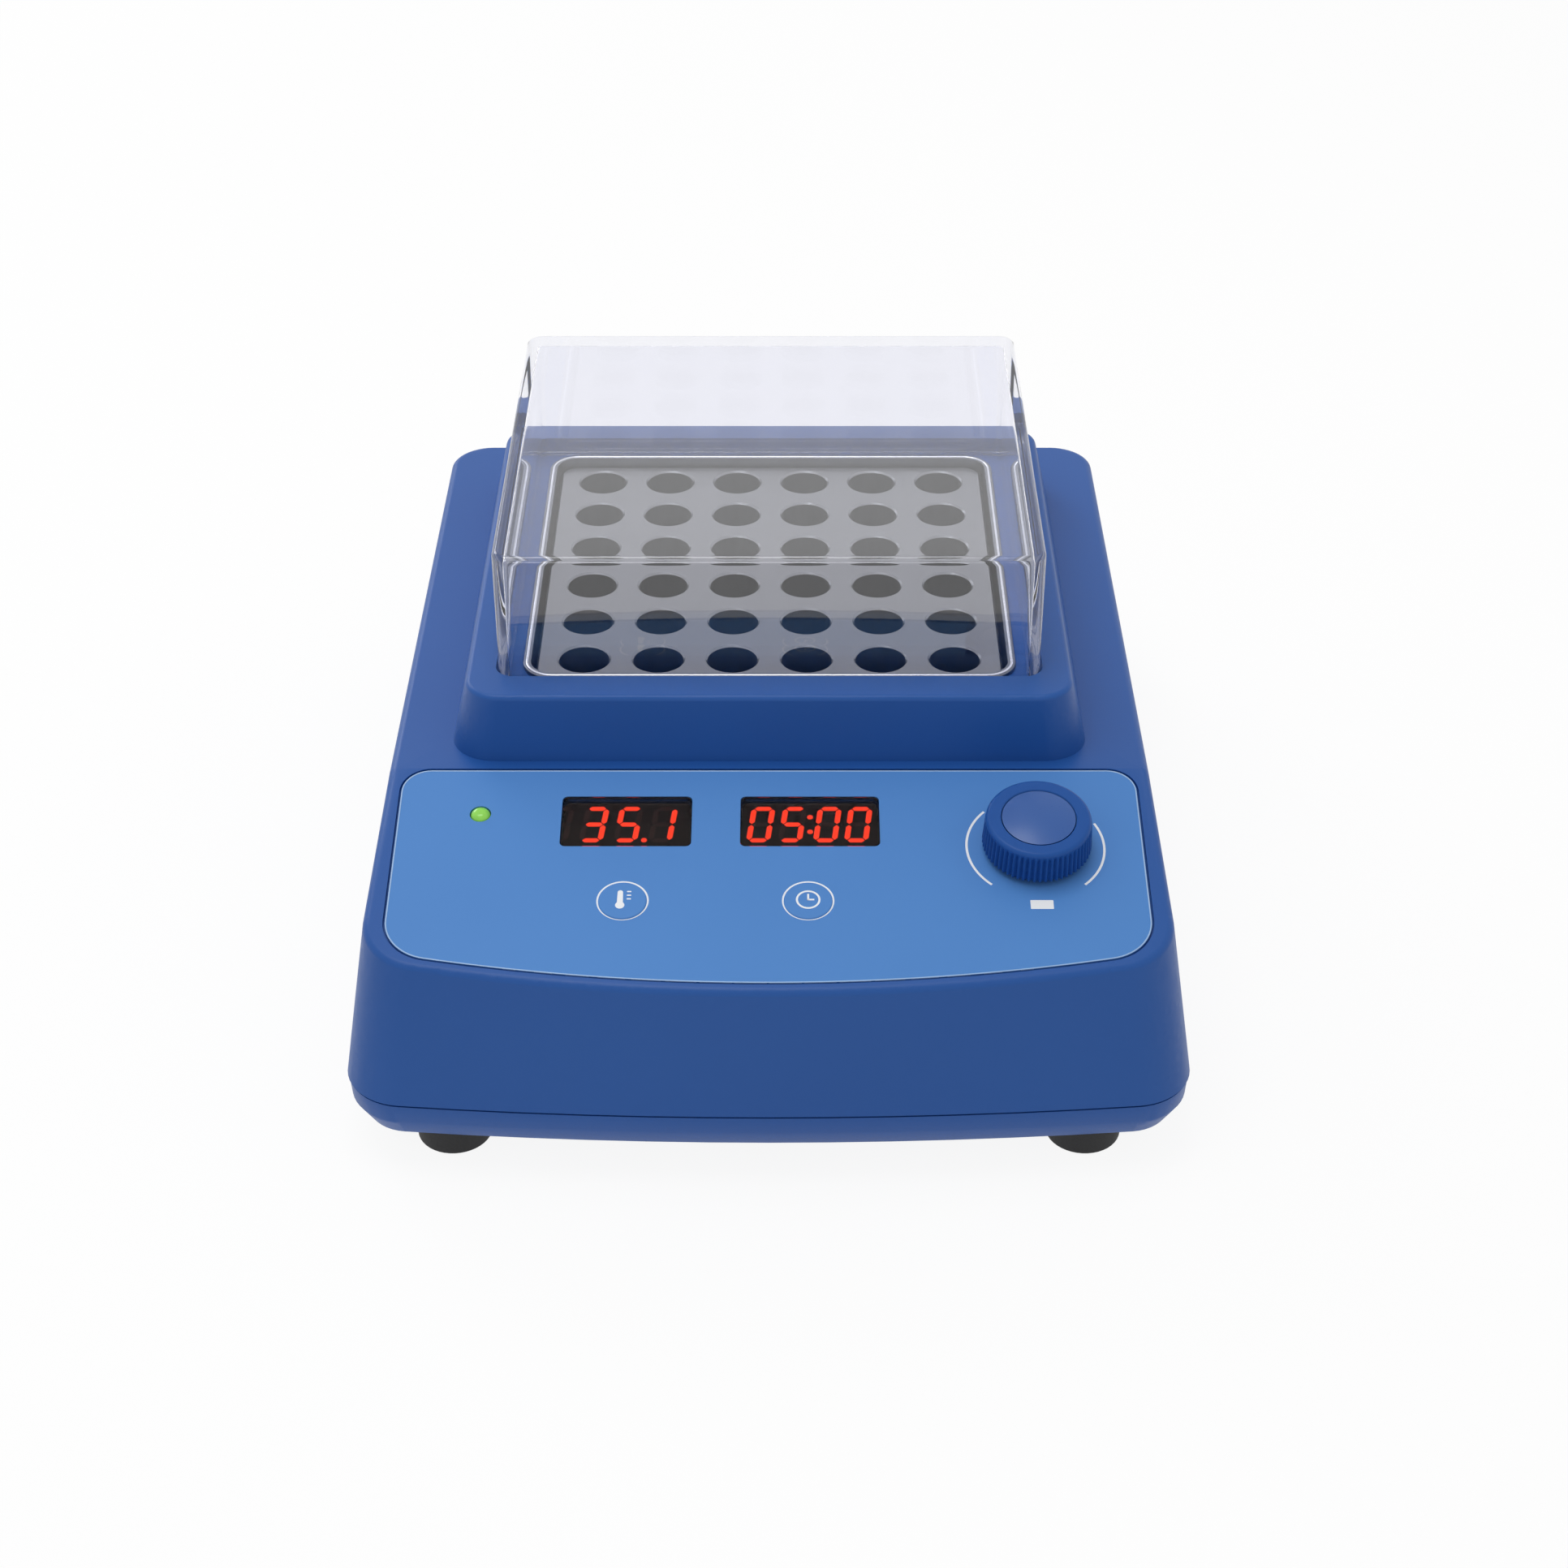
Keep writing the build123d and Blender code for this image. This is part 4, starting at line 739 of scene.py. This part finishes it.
def plate(outline: Array, bottom: float, top: float) -> tuple[Array, list]:
    """A flat plate with an outline that goes anticlockwise, between two heights."""
    count = len(outline)
    low = np.column_stack([outline, np.full(count, bottom)])
    high = np.column_stack([outline, np.full(count, top)])
    faces = tube_faces(2, count).tolist()
    return np.concatenate([low, high]), faces + [list(range(count))[::-1], list(range(count, 2 * count))]


def gather(shapes: Iterable[tuple[Array, list]]) -> tuple[Array, list]:
    """Joins several shapes' points and faces into one shape."""
    points, faces, count = [], [], 0
    for some, joined in shapes:
        points.append(some)
        faces += [[i + count for i in face] for face in joined]
        count += len(some)
    return np.concatenate(points), faces


@dataclass
class PanelPlane:
    """The sloping panel's own axes: x across, up along the slope, and out of the face, in millimetres.

    The knob's joint gives the slope and one point of the plane.
    """

    knob_x: float = 55.6
    knob_up: float = -22.6

    def __post_init__(self) -> None:
        """Reads the plane from the joint that the knob turns about."""
        joint = next(j for j in frame["joints"] if j["name"] == "knob_turn")
        self.out = np.array(joint["axis"], float)
        self.out /= np.linalg.norm(self.out)
        self.across = np.array([1.0, 0.0, 0.0])
        self.rise = np.cross(self.out, self.across)
        here = np.array(joint["pos_m"], float) / MM
        self.origin = here - self.knob_x * self.across - self.knob_up * self.rise

    def world(self, points: Array, spot: tuple[float, float] = (0.0, 0.0)) -> Array:
        """Turns points on the panel about a spot into metres in the shared frame."""
        axes = np.array([self.across, self.rise, self.out])
        return (self.origin + (points + np.array([*spot, 0.0])) @ axes) * MM

    def spot(self, node: str) -> tuple[float, float]:
        """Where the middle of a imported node's box lies on the panel."""
        low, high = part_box(node)
        middle = np.array((low + high) / 2) / MM - self.origin
        return float(middle @ self.across), float(middle @ self.rise)


class Segment(Enum):
    """The bars of a seven-segment digit, each with its middle and whether it lies flat."""

    TOP = (0.0, 1.0, True)
    UPPER_RIGHT = (1.0, 0.5, False)
    LOWER_RIGHT = (1.0, -0.5, False)
    BOTTOM = (0.0, -1.0, True)
    LOWER_LEFT = (-1.0, -0.5, False)
    UPPER_LEFT = (-1.0, 0.5, False)
    MIDDLE = (0.0, 0.0, True)


S = Segment
LIT = {
    "0": {S.TOP, S.UPPER_RIGHT, S.LOWER_RIGHT, S.BOTTOM, S.LOWER_LEFT, S.UPPER_LEFT},
    "1": {S.UPPER_RIGHT, S.LOWER_RIGHT},
    "3": {S.TOP, S.UPPER_RIGHT, S.MIDDLE, S.LOWER_RIGHT, S.BOTTOM},
    "5": {S.TOP, S.UPPER_LEFT, S.MIDDLE, S.LOWER_RIGHT, S.BOTTOM},
    " ": set(),
}


@dataclass
class DigitRow:
    """A row of slanted seven-segment digits on the face of a display."""

    name: str
    node: str
    text: str
    places: tuple[float, ...]
    dots: tuple[tuple[float, float], ...]
    half_width: float = 1.95
    half_height: float = 4.55
    bar: float = 1.15
    slant: float = 0.12
    gap: float = 0.16
    lift: float = 0.04
    rise: float = 0.55
    dot_radius: float = 0.62

    def bar_outline(self, segment: Segment) -> Array:
        """The six-sided outline of one bar: a strip with pointed ends, leaning with the digit."""
        across, along, flat = segment.value
        half = (self.half_width if flat else self.half_height / 2) - self.gap
        thick = self.bar / 2
        strip = np.array([
            (-half, 0), (-half + thick, -thick), (half - thick, -thick),
            (half, 0), (half - thick, thick), (-half + thick, thick),
        ])
        if not flat:
            strip = np.column_stack([-strip[:, 1], strip[:, 0]])
        strip = strip + np.array([across * self.half_width, along * self.half_height])
        strip[:, 0] += strip[:, 1] * self.slant
        return strip

    def shapes(self, lit: bool) -> list[tuple[Array, list]]:
        """The bars and dots that are lit, or the bars that are dark."""
        face = self.lift if lit else self.lift / 2
        found = []
        for letter, place in zip(self.text, self.places):
            for segment in Segment:
                if (segment in LIT[letter]) == lit:
                    outline = self.bar_outline(segment) + np.array([place, self.rise])
                    found.append(plate(outline, 0.0, face))
        if lit:
            for x, up in self.dots:
                found.append(plate(arc((x, up + self.rise), self.dot_radius, 0, 345, 24), 0.0, face))
        return found

    def build(self, plane: PanelPlane, module_face: float) -> None:
        """Adds the lit bars and the dark bars of the row.

        Args:
            plane: the panel's axes.
            module_face: how far out of the panel the display's face lies, in millimetres.
        """
        spot = plane.spot(self.node)
        for lit, finish, word in ((True, LitSegment(), "lit"), (False, DarkSegment(), "dark")):
            points, faces = gather(self.shapes(lit))
            points[:, 2] += module_face
            world = plane.world(points, spot)
            add_piece(f"{self.name}_{word}_segments", world, faces, finish, "case")


DIGIT_ROWS = (
    DigitRow("temperature", "temperature_display", " 351", (-14.2, -6.85, 0.35, 7.6), ((3.75, -4.5),)),
    DigitRow("timer", "timer_display", "0500", (-10.3, -3.65, 3.7, 10.2), ((0.05, 2.1), (0.05, -2.1))),
)


@dataclass
class ControlPanel:
    """The sloping panel: overlay, windows, digits, lamp, keys, print and knob."""

    module_face: float = -2.2
    key_face: float = 0.25
    ink: float = 0.03
    line: float = 0.5
    ring_radius: float = 5.1
    arc_radius: float = 14.3
    arc_spans: tuple[tuple[float, float], ...] = ((135.6, 228.0), (-48.0, 27.6))
    scale_shift: float = -0.2
    mark_half: tuple[float, float] = (2.35, 1.2)
    mark_corner: float = 0.15
    mark_place: tuple[float, float] = (0.4, -16.1)
    stem_x: float = -0.5
    stem_top: float = 2.0
    stem_radius: float = 0.55
    bulb_up: float = -1.5
    bulb_radius: float = 0.95
    tick_half: tuple[float, float] = (0.45, 0.16)
    tick_corner: float = 0.1
    tick_x: float = 1.3
    tick_heights: tuple[float, ...] = (0.2, 1.2, 2.2)
    clock_radius: float = 2.3
    clock_line: float = 0.42
    hand_line: float = 0.4
    hand_tail: float = 0.2
    minute_hand: float = 1.55
    hour_hand: float = 1.25
    edge_half: float = 0.16
    edge_rise: float = 0.08
    edge_lift: float = 0.02
    edge_depth: float = 0.2
    edge_crisp: float = 50.0
    overlay_half: float = 77.8
    overlay_top: float = -0.6
    overlay_bottom: float = -59.8
    overlay_bow: float = 8.0
    overlay_top_radius: float = 6.0
    overlay_low_radius: float = 10.5
    face: float = -0.1

    def build(self) -> None:
        """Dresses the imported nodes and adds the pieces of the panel."""
        plane = PanelPlane()
        dress(["control_overlay"], PrintedPolycarbonate())
        dress(["temperature_window", "timer_window"], SmokedAcrylic())
        dress(["temperature_display", "timer_display", "lamp_spacer"], DisplayBody())
        dress(["temperature_switch", "time_switch", "encoder_plunger"], GlassFilledNylon())
        dress(["temperature_key", "time_key"], PrintedPolycarbonate())
        dress(["indicator_lamp"], GreenLens())
        self.digits(plane)
        self.print(plane)
        self.edge(plane)
        Knob().build(plane)

    def digits(self, plane: PanelPlane) -> None:
        """Adds the two rows of digits on the faces of the displays."""
        for row in DIGIT_ROWS:
            row.build(plane, self.module_face)

    def band(self, path: Array, width: float, closed: bool, height: float) -> tuple[Array, list]:
        """A flat line of ink along a path, with its face a little above a height."""
        half = width / 2
        top = height + self.ink
        return sweep(path, np.array([(-half, height), (-half, top), (half, top), (half, height)]), closed)

    def print(self, plane: PanelPlane) -> None:
        """Adds the white print: arcs round the knob, the mark under it, and the keys' rings and signs."""
        centre = (0.0, 0.0)
        scale = [
            self.band(arc(centre, self.arc_radius, *span, 60), self.line, False, self.face)
            for span in self.arc_spans
        ]
        mark = rounded_rectangle(*self.mark_half, self.mark_corner, 4) + np.array(self.mark_place)
        scale.append(plate(mark, self.face, self.face + self.ink))
        spot = (plane.knob_x + self.scale_shift, plane.knob_up + self.scale_shift)
        self.lay("knob_scale_print", scale, plane, spot, "case")
        for key, sign in (("temperature_key", self.thermometer()), ("time_key", self.clock())):
            spot = plane.spot(key)
            ring = self.band(arc(centre, self.ring_radius, 0, 355, 72), self.line, True, self.face)
            self.lay(f"{key}_ring_print", [ring], plane, spot, "case")
            self.lay(f"{key}_sign_print", sign, plane, spot, key)

    def lay(
        self, name: str, shapes: list[tuple[Array, list]], plane: PanelPlane, spot: tuple[float, float],
        body: str,
    ) -> None:
        """Adds one piece of white print.

        Args:
            name: the piece's name.
            shapes: the points and faces of its lines and fields, in the panel's axes.
            plane: the panel's axes.
            spot: the place on the panel that the shapes are drawn about.
            body: the body that it rides on.
        """
        points, faces = gather(shapes)
        add_piece(name, plane.world(points, spot), faces, ScreenInk(), body)

    def thermometer(self) -> list[tuple[Array, list]]:
        """A small thermometer: a bulb, a stem and three ticks."""
        bulb = arc((self.stem_x, self.bulb_up), self.bulb_radius, -230, 50, 24)
        stem = arc((self.stem_x, self.stem_top), self.stem_radius, 0, 180, 10)
        tick = rounded_rectangle(*self.tick_half, self.tick_corner, 3)
        fields = [np.concatenate([bulb, stem])]
        fields += [tick + np.array([self.tick_x, up]) for up in self.tick_heights]
        return [plate(field, self.key_face, self.key_face + self.ink) for field in fields]

    def clock(self) -> list[tuple[Array, list]]:
        """A small clock: a ring with two hands."""
        face = self.key_face
        ring = self.band(arc((0, 0), self.clock_radius, 0, 350, 36), self.clock_line, True, face)
        hands = [
            np.array([(0, -self.hand_tail), (0, self.minute_hand)]),
            np.array([(-self.hand_tail, 0), (self.hour_hand, 0)]),
        ]
        return [ring] + [self.band(hand, self.hand_line, False, face) for hand in hands]

    def outline(self, inset: float) -> Array:
        """The overlay's outline: straight top and sides, rounded corners and a lower edge on a shallow arc.

        Args:
            inset: how far inside the overlay's edge the outline runs.

        Returns:
            One row of x and up for each point, anticlockwise.
        """
        half, top = self.overlay_half - inset, self.overlay_top - inset
        low, bow = self.overlay_bottom + inset, self.overlay_bow
        swell = (half**2 + bow**2) / (2 * bow)
        centre = (0.0, low + swell)
        radius = self.overlay_low_radius - inset
        reach = swell - radius
        corner_x = half - radius
        corner_up = centre[1] - math.sqrt(reach**2 - corner_x**2)
        lean = math.degrees(math.atan2(corner_x, centre[1] - corner_up))
        bottom = arc(centre, swell, -90 - lean, -90 + lean, 60)
        right = arc((corner_x, corner_up), radius, -90 + lean, 0, 16)[1:]
        left = arc((-corner_x, corner_up), radius, 180, 270 - lean, 16)[:-1]
        upper = self.overlay_top_radius - inset
        tops = [arc((s * (half - upper), top - upper), upper, a, a + 90, 12) for s, a in ((1, 0), (-1, 90))]
        return np.concatenate([bottom, right, *tops, left])

    def edge(self, plane: PanelPlane) -> None:
        """Adds the overlay's cut edge as a thin bead round its face, painted pale as a highlight."""
        half, face = self.edge_half, self.face
        turn = np.radians(np.linspace(180, 0, 7))
        crown = np.column_stack([half * np.cos(turn), face + self.edge_lift + self.edge_rise * np.sin(turn)])
        base = np.array([(half, face - self.edge_depth), (-half, face - self.edge_depth)])
        points, faces = sweep(self.outline(half), np.concatenate([crown, base]), True)
        world = plane.world(points)
        # the bead's pale colour is a painted highlight along the overlay's edge
        add_piece("overlay_edge_painted_highlight", world, faces, FilmEdgeHighlight(), "case", crisp=self.edge_crisp)


@dataclass
class Knob:
    """The fluted knob with its domed cap, as turned surfaces on the panel's axis."""

    flutes: int = 60
    flute_depth: float = 0.6
    radius: float = 11.4
    crown: float = 10.9
    top: float = 8.6
    foot: float = 0.9
    wall: float = 1.8
    ceiling: float = 4.6
    axis_hole: float = 0.4
    foot_bevel: float = 0.3
    crown_radius: float = 1.0
    crown_step: float = 0.15
    crown_bulge: float = 0.05
    side_drop: float = 1.3
    seat_depth: float = 1.1
    seat_gap: float = 0.05
    seat_bevel: float = 0.2
    flute_drop: float = 0.9
    flute_fade: float = 0.7
    flute_sharpness: float = 1.3
    cap_radius: float = 7.7
    cap_gap: float = 0.12
    cap_rise: float = 0.85
    cap_hole: float = 0.3
    cap_depth: float = 1.0
    cap_edge: float = 0.3
    steps_per_flute: int = 10
    crisp: float = 40.0

    def profile(self) -> Array:
        """The half section: ceiling of the hollow, foot, fluted side, round crown and the cap's seat."""
        inner = self.radius - self.wall
        side = np.linspace(self.foot + self.foot_bevel, self.top - self.side_drop, 12)
        lean = np.linspace(self.radius, self.crown + self.crown_step, 12)
        middle = (self.crown + self.crown_bulge - self.crown_radius, self.top - self.crown_radius)
        crown = arc(middle, self.crown_radius, 8, 90, 10)
        seat, floor = self.cap_radius + self.seat_gap, self.top - self.seat_depth
        return np.concatenate([
            [(self.axis_hole, self.ceiling), (inner, self.ceiling)],
            [(inner, self.foot), (self.radius - self.foot_bevel, self.foot)],
            np.column_stack([lean, side]), crown,
            [(seat + self.seat_bevel, self.top), (seat, self.top - self.seat_bevel)],
            [(seat, floor), (self.axis_hole, floor)],
        ])

    def build(self, plane: PanelPlane) -> None:
        """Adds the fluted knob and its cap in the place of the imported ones."""
        profile = self.profile()
        radius, height = profile.T
        around = self.flutes * self.steps_per_flute
        turn = np.linspace(0, 2 * math.pi, around, endpoint=False)
        groove = (0.5 - 0.5 * np.cos(self.flutes * turn)) ** self.flute_sharpness
        faded = np.clip((self.top - self.flute_drop - height) / self.flute_fade, 0, 1)
        on_side = faded * (radius > self.crown - self.flute_depth)
        wave = self.flute_depth * np.outer(on_side, groove)
        self.turned("fluted_knob", plane, profile, around, KnobAbs(), "control_knob", wave)
        share = np.linspace(1, 0, 20)
        rim = self.cap_radius - self.cap_gap
        dome = np.column_stack([rim * share, self.top - self.cap_gap + self.cap_rise * (1 - share**2)])
        low = self.top - self.cap_depth
        edge = np.array([(self.cap_hole, low), (rim, low), (rim, self.top - self.cap_edge)])
        middle = np.array([(self.cap_hole, dome[-1, 1])])
        cap = np.concatenate([edge, dome[:-1], middle])
        self.turned("domed_cap", plane, cap, 96, CapAbs(), "knob_cap")

    def turned(
        self, name: str, plane: PanelPlane, profile: Array, around: int, finish: Finish, replaced: str,
        wave: Array | None = None,
    ) -> None:
        """Adds a turned piece about the knob's axis.

        Args:
            name: the piece's name.
            plane: the panel's axes.
            profile: rows of radius and height out of the panel.
            around: how many steps a turn has.
            finish: what it is made of.
            replaced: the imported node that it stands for.
            wave: what to take off the radius at each profile row and step.
        """
        points, faces = revolve(profile, around, wave)
        world = plane.world(points, (plane.knob_x, plane.knob_up))
        add_piece(name, world, faces, finish, "knob", [replaced], self.crisp)


@dataclass
class Lid:
    """The clear cover: one shell of five walls with rounded edges inside and out."""

    wall: float = 2.3
    corner: float = 3.5
    edge: float = 1.2
    inner_edge: float = 0.8
    rim: float = 0.5
    least_corner: float = 0.8
    crisp: float = 60.0

    def build(self) -> None:
        """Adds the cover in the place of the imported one."""
        low, high = (np.array(c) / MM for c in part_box("lid"))
        centre = (low + high) / 2
        half_x, half_y = (high - low)[:2] / 2
        stack = [
            (half_x - inset, half_y - inset, max(self.corner - inset, self.least_corner), height)
            for inset, height in self.section(low[2], high[2])
        ]
        rings = rounded_box_rings(stack, 10)
        count = rings.shape[1]
        points = rings.reshape(-1, 3)
        points[:, :2] += centre[:2]
        faces = tube_faces(len(rings), count).tolist()
        last = (len(rings) - 1) * count
        faces += [list(range(count))[::-1], [last + i for i in range(count)]]
        add_piece("clear_cover", points * MM, faces, CastAcrylic(), "lid", ["lid"], self.crisp)

    def section(self, bottom: float, top: float) -> list[tuple[float, float]]:
        """The wall's section, from the inner roof down inside, round the rim and up outside.

        Args:
            bottom: the height of the rim's lowest line.
            top: the height of the outside.

        Returns:
            How far inside the cover's outside each ring lies, and its height.
        """
        inside, half = top - self.wall, self.wall / 2
        quarter = np.radians(np.linspace(0, 90, 8))
        turn = np.radians(np.linspace(360, 180, 11))
        within, over = 1 - np.cos(quarter), 1 - np.sin(quarter)
        inner = zip(self.wall + self.inner_edge * within[::-1], inside - self.inner_edge * over[::-1])
        rim = zip(half * (1 + np.cos(turn)), bottom + self.rim * (1 + np.sin(turn)))
        outer = zip(self.edge * within, top - self.edge * over)
        return [*inner, *rim, *outer]


@dataclass
class Case:
    """The moulded housing and the base with its feet and screws."""

    crisp: float = 30.0

    def build(self) -> None:
        """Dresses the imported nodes."""
        dress(["upper_housing", "base_pan"], MouldedAbs(), self.crisp)
        dress(["rubber_feet"], MouldedRubber())
        dress(["foot_screws", "housing_screws"], ZincPlate())


@dataclass
class BlockBay:
    """The block, its liner and what heats and insulates it."""

    rim: float = 1.7
    bead: float = 0.3
    bead_flatness: float = 0.6
    bead_depth: float = 0.2
    corner: float = 5.0
    block_crisp: float = 40.0
    liner_crisp: float = 50.0

    def build(self) -> None:
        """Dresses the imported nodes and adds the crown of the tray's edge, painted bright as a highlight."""
        self.crown()
        dress(["heating_block", "heater_plate"], MilledAluminium(), self.block_crisp)
        dress(["block_liner"], RolledSteel(), self.liner_crisp)
        dress(["cradle_plate", "cradle_screws", "heater_screws", "temperature_probe"], ZincPlate())
        dress(["heater_mat"], SiliconeMat())
        dress(["lower_insulation", "side_insulation"], MineralFibre())
        dress(["heater_spacers"], Steatite())
        dress(["thermal_cutout"], GlassFilledNylon())
        dress(["earth_stud"], NickelBrass())

    def crown(self) -> None:
        """Adds a half-round bead along the middle of the tray's rim, painted bright as a highlight."""
        low, high = (np.array(c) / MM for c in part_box("block_liner"))
        centre, half = (low + high) / 2, (high - low)[:2] / 2 - self.rim / 2
        path = rounded_rectangle(half[0], half[1], self.corner + self.rim / 2, 12)
        turn = np.radians(np.linspace(180, 0, 9))
        dome = self.bead * np.column_stack([np.cos(turn), self.bead_flatness * np.sin(turn)])
        profile = np.concatenate([dome, [(self.bead, -self.bead_depth), (-self.bead, -self.bead_depth)]])
        points, faces = sweep(path, profile, True)
        points += np.array([centre[0], centre[1], high[2]])
        # the bead's near-white colour is a painted highlight on the rim
        add_piece(
            "liner_edge_painted_highlight", points * MM, faces, SteelEdgeHighlight(), "case",
            crisp=self.liner_crisp,
        )


@dataclass
class RearPanel:
    """The inlet with its fuse drawer, and the power switch."""

    def build(self) -> None:
        """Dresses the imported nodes."""
        dress(["power_inlet", "fuse_drawer", "switch_bezel", "power_rocker"], GlassFilledNylon())
        dress(["inlet_pins"], NickelBrass())
        dress(["inlet_screws"], ZincPlate())
        dress(["fuse"], FuseGlass())


@dataclass
class Electronics:
    """The boards behind the panel and on the base, and the encoder."""

    def build(self) -> None:
        """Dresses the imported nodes."""
        dress(["control_board", "power_board"], GlassFibreBoard())
        dress(["control_board_parts", "power_board_parts"], GlassFilledNylon())
        dress(["control_board_screws", "power_board_screws", "encoder_body"], ZincPlate())
        dress(["encoder_shaft", "encoder_nut"], NickelBrass())


@dataclass
class Studio:
    """A white floor and surroundings, a softbox overhead, one behind on the left, and the camera."""

    floor_size: float = 6.0
    floor_colour: str = "#fbfbfb"
    ambient: float = 0.6
    overhead_power: float = 3.0
    overhead_place: tuple[float, float, float] = (-0.15, -0.05, 1.0)
    overhead_size: float = 0.5
    rear_power: float = 4.0
    rear_place: tuple[float, float, float] = (-0.8, 1.1, 0.8)
    rear_size: float = 0.6
    target: tuple[float, float, float] = (0.0, 0.0, 0.05)
    lens: float = 66.17
    sensor: float = 36.0
    near_clip: float = 0.01
    camera_place: tuple[float, float, float] = (0.00317, -0.5582, 0.3993)
    camera_pitch: float = 33.787
    shadow_share: float = 0.1

    def build(self) -> None:
        """Adds the floor, the surroundings, the lamps and the camera."""
        self.world()
        self.floor()
        self.lamp("overhead_softbox", self.overhead_place, self.overhead_size, self.overhead_power)
        self.lamp("rear_left_softbox", self.rear_place, self.rear_size, self.rear_power)
        self.camera()

    def seen_white(self, tree: bpy.types.NodeTree):
        """Adds a socket that is 1 for camera, glossy and transmission rays, and 0 for diffuse ones."""
        path = add_node(tree, "ShaderNodeLightPath")
        either = add_node(
            tree, "ShaderNodeMath", {"operation": "MAXIMUM"},
            {0: path.outputs["Is Camera Ray"], 1: path.outputs["Is Glossy Ray"]},
        )
        every = add_node(
            tree, "ShaderNodeMath", {"operation": "MAXIMUM"},
            {0: either.outputs[0], 1: path.outputs["Is Transmission Ray"]},
        )
        return every.outputs[0]

    def world(self) -> None:
        """Makes surroundings that are seen as white and light the object at a plain level."""
        world = bpy.data.worlds.new("white_surroundings")
        bpy.context.scene.world = world
        world.use_nodes = True
        tree = world.node_tree
        tree.nodes.clear()
        seen = self.seen_white(tree)
        light = add_node(
            tree, "ShaderNodeBackground", {"Color": linear("#ffffff"), "Strength": self.ambient}
        )
        white = add_node(tree, "ShaderNodeBackground", {"Color": linear("#ffffff"), "Strength": 1.0})
        mix = add_node(
            tree, "ShaderNodeMixShader", links={0: seen, 1: light.outputs[0], 2: white.outputs[0]}
        )
        add_node(tree, "ShaderNodeOutputWorld", links={"Surface": mix.outputs[0]})

    def floor(self) -> None:
        """Adds a white floor that keeps a soft share of the object's shadow."""
        half = self.floor_size / 2
        mesh = bpy.data.meshes.new("floor")
        corners = [(-half, -half, 0), (half, -half, 0), (half, half, 0), (-half, half, 0)]
        mesh.from_pydata(corners, [], [(0, 1, 2, 3)])
        floor = bpy.data.objects.new("floor", mesh)
        bpy.context.scene.collection.objects.link(floor)
        made = bpy.data.materials.new("white_floor")
        made.use_nodes = True
        tree = made.node_tree
        tree.nodes.clear()
        seen = self.seen_white(tree)
        share = add_node(
            tree, "ShaderNodeMath", {"operation": "MULTIPLY", 1: 1 - self.shadow_share}, {0: seen}
        )
        matt = add_node(tree, "ShaderNodeBsdfDiffuse", {"Color": linear(self.floor_colour)})
        white = add_node(tree, "ShaderNodeEmission", {"Color": linear("#ffffff"), "Strength": 1.0})
        mix = add_node(
            tree, "ShaderNodeMixShader", links={0: share.outputs[0], 1: matt.outputs[0], 2: white.outputs[0]}
        )
        add_node(tree, "ShaderNodeOutputMaterial", links={"Surface": mix.outputs[0]})
        mesh.materials.append(made)

    def lamp(self, name: str, place: tuple[float, float, float], size: float, power: float) -> None:
        """Adds a square softbox that faces the object.

        Args:
            name: the lamp's name.
            place: where it hangs, in metres.
            size: its side in metres.
            power: its power in watts.
        """
        data = bpy.data.lights.new(name, "AREA")
        data.size, data.energy = size, power
        lamp = bpy.data.objects.new(name, data)
        bpy.context.scene.collection.objects.link(lamp)
        aim = np.array(self.target) - np.array(place)
        lamp.location = place
        lamp.rotation_euler = (
            math.acos(-aim[2] / np.linalg.norm(aim)), 0.0, math.atan2(aim[1], aim[0]) - math.pi / 2,
        )

    def camera(self) -> None:
        """Adds the camera at the photograph's viewing angle."""
        data = bpy.data.cameras.new("camera")
        data.lens = self.lens
        data.sensor_width = self.sensor
        data.clip_start = self.near_clip
        camera = bpy.data.objects.new("camera", data)
        camera.location = self.camera_place
        camera.rotation_euler = (math.radians(90 - self.camera_pitch), 0.0, 0.0)
        bpy.context.scene.collection.objects.link(camera)
        bpy.context.scene.camera = camera


def main() -> None:
    """Builds the studio and dresses each sub-assembly in order."""
    logging.basicConfig(level=logging.INFO, format="%(name)s: %(message)s")
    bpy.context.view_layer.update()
    bpy.context.scene.view_settings.view_transform = "Standard"
    for part in (Studio(), Case(), ControlPanel(), BlockBay(), Lid(), RearPanel(), Electronics()):
        part.build()
        LOG.info("built %s", type(part).__name__)


if __name__ == "__main__":
    main()
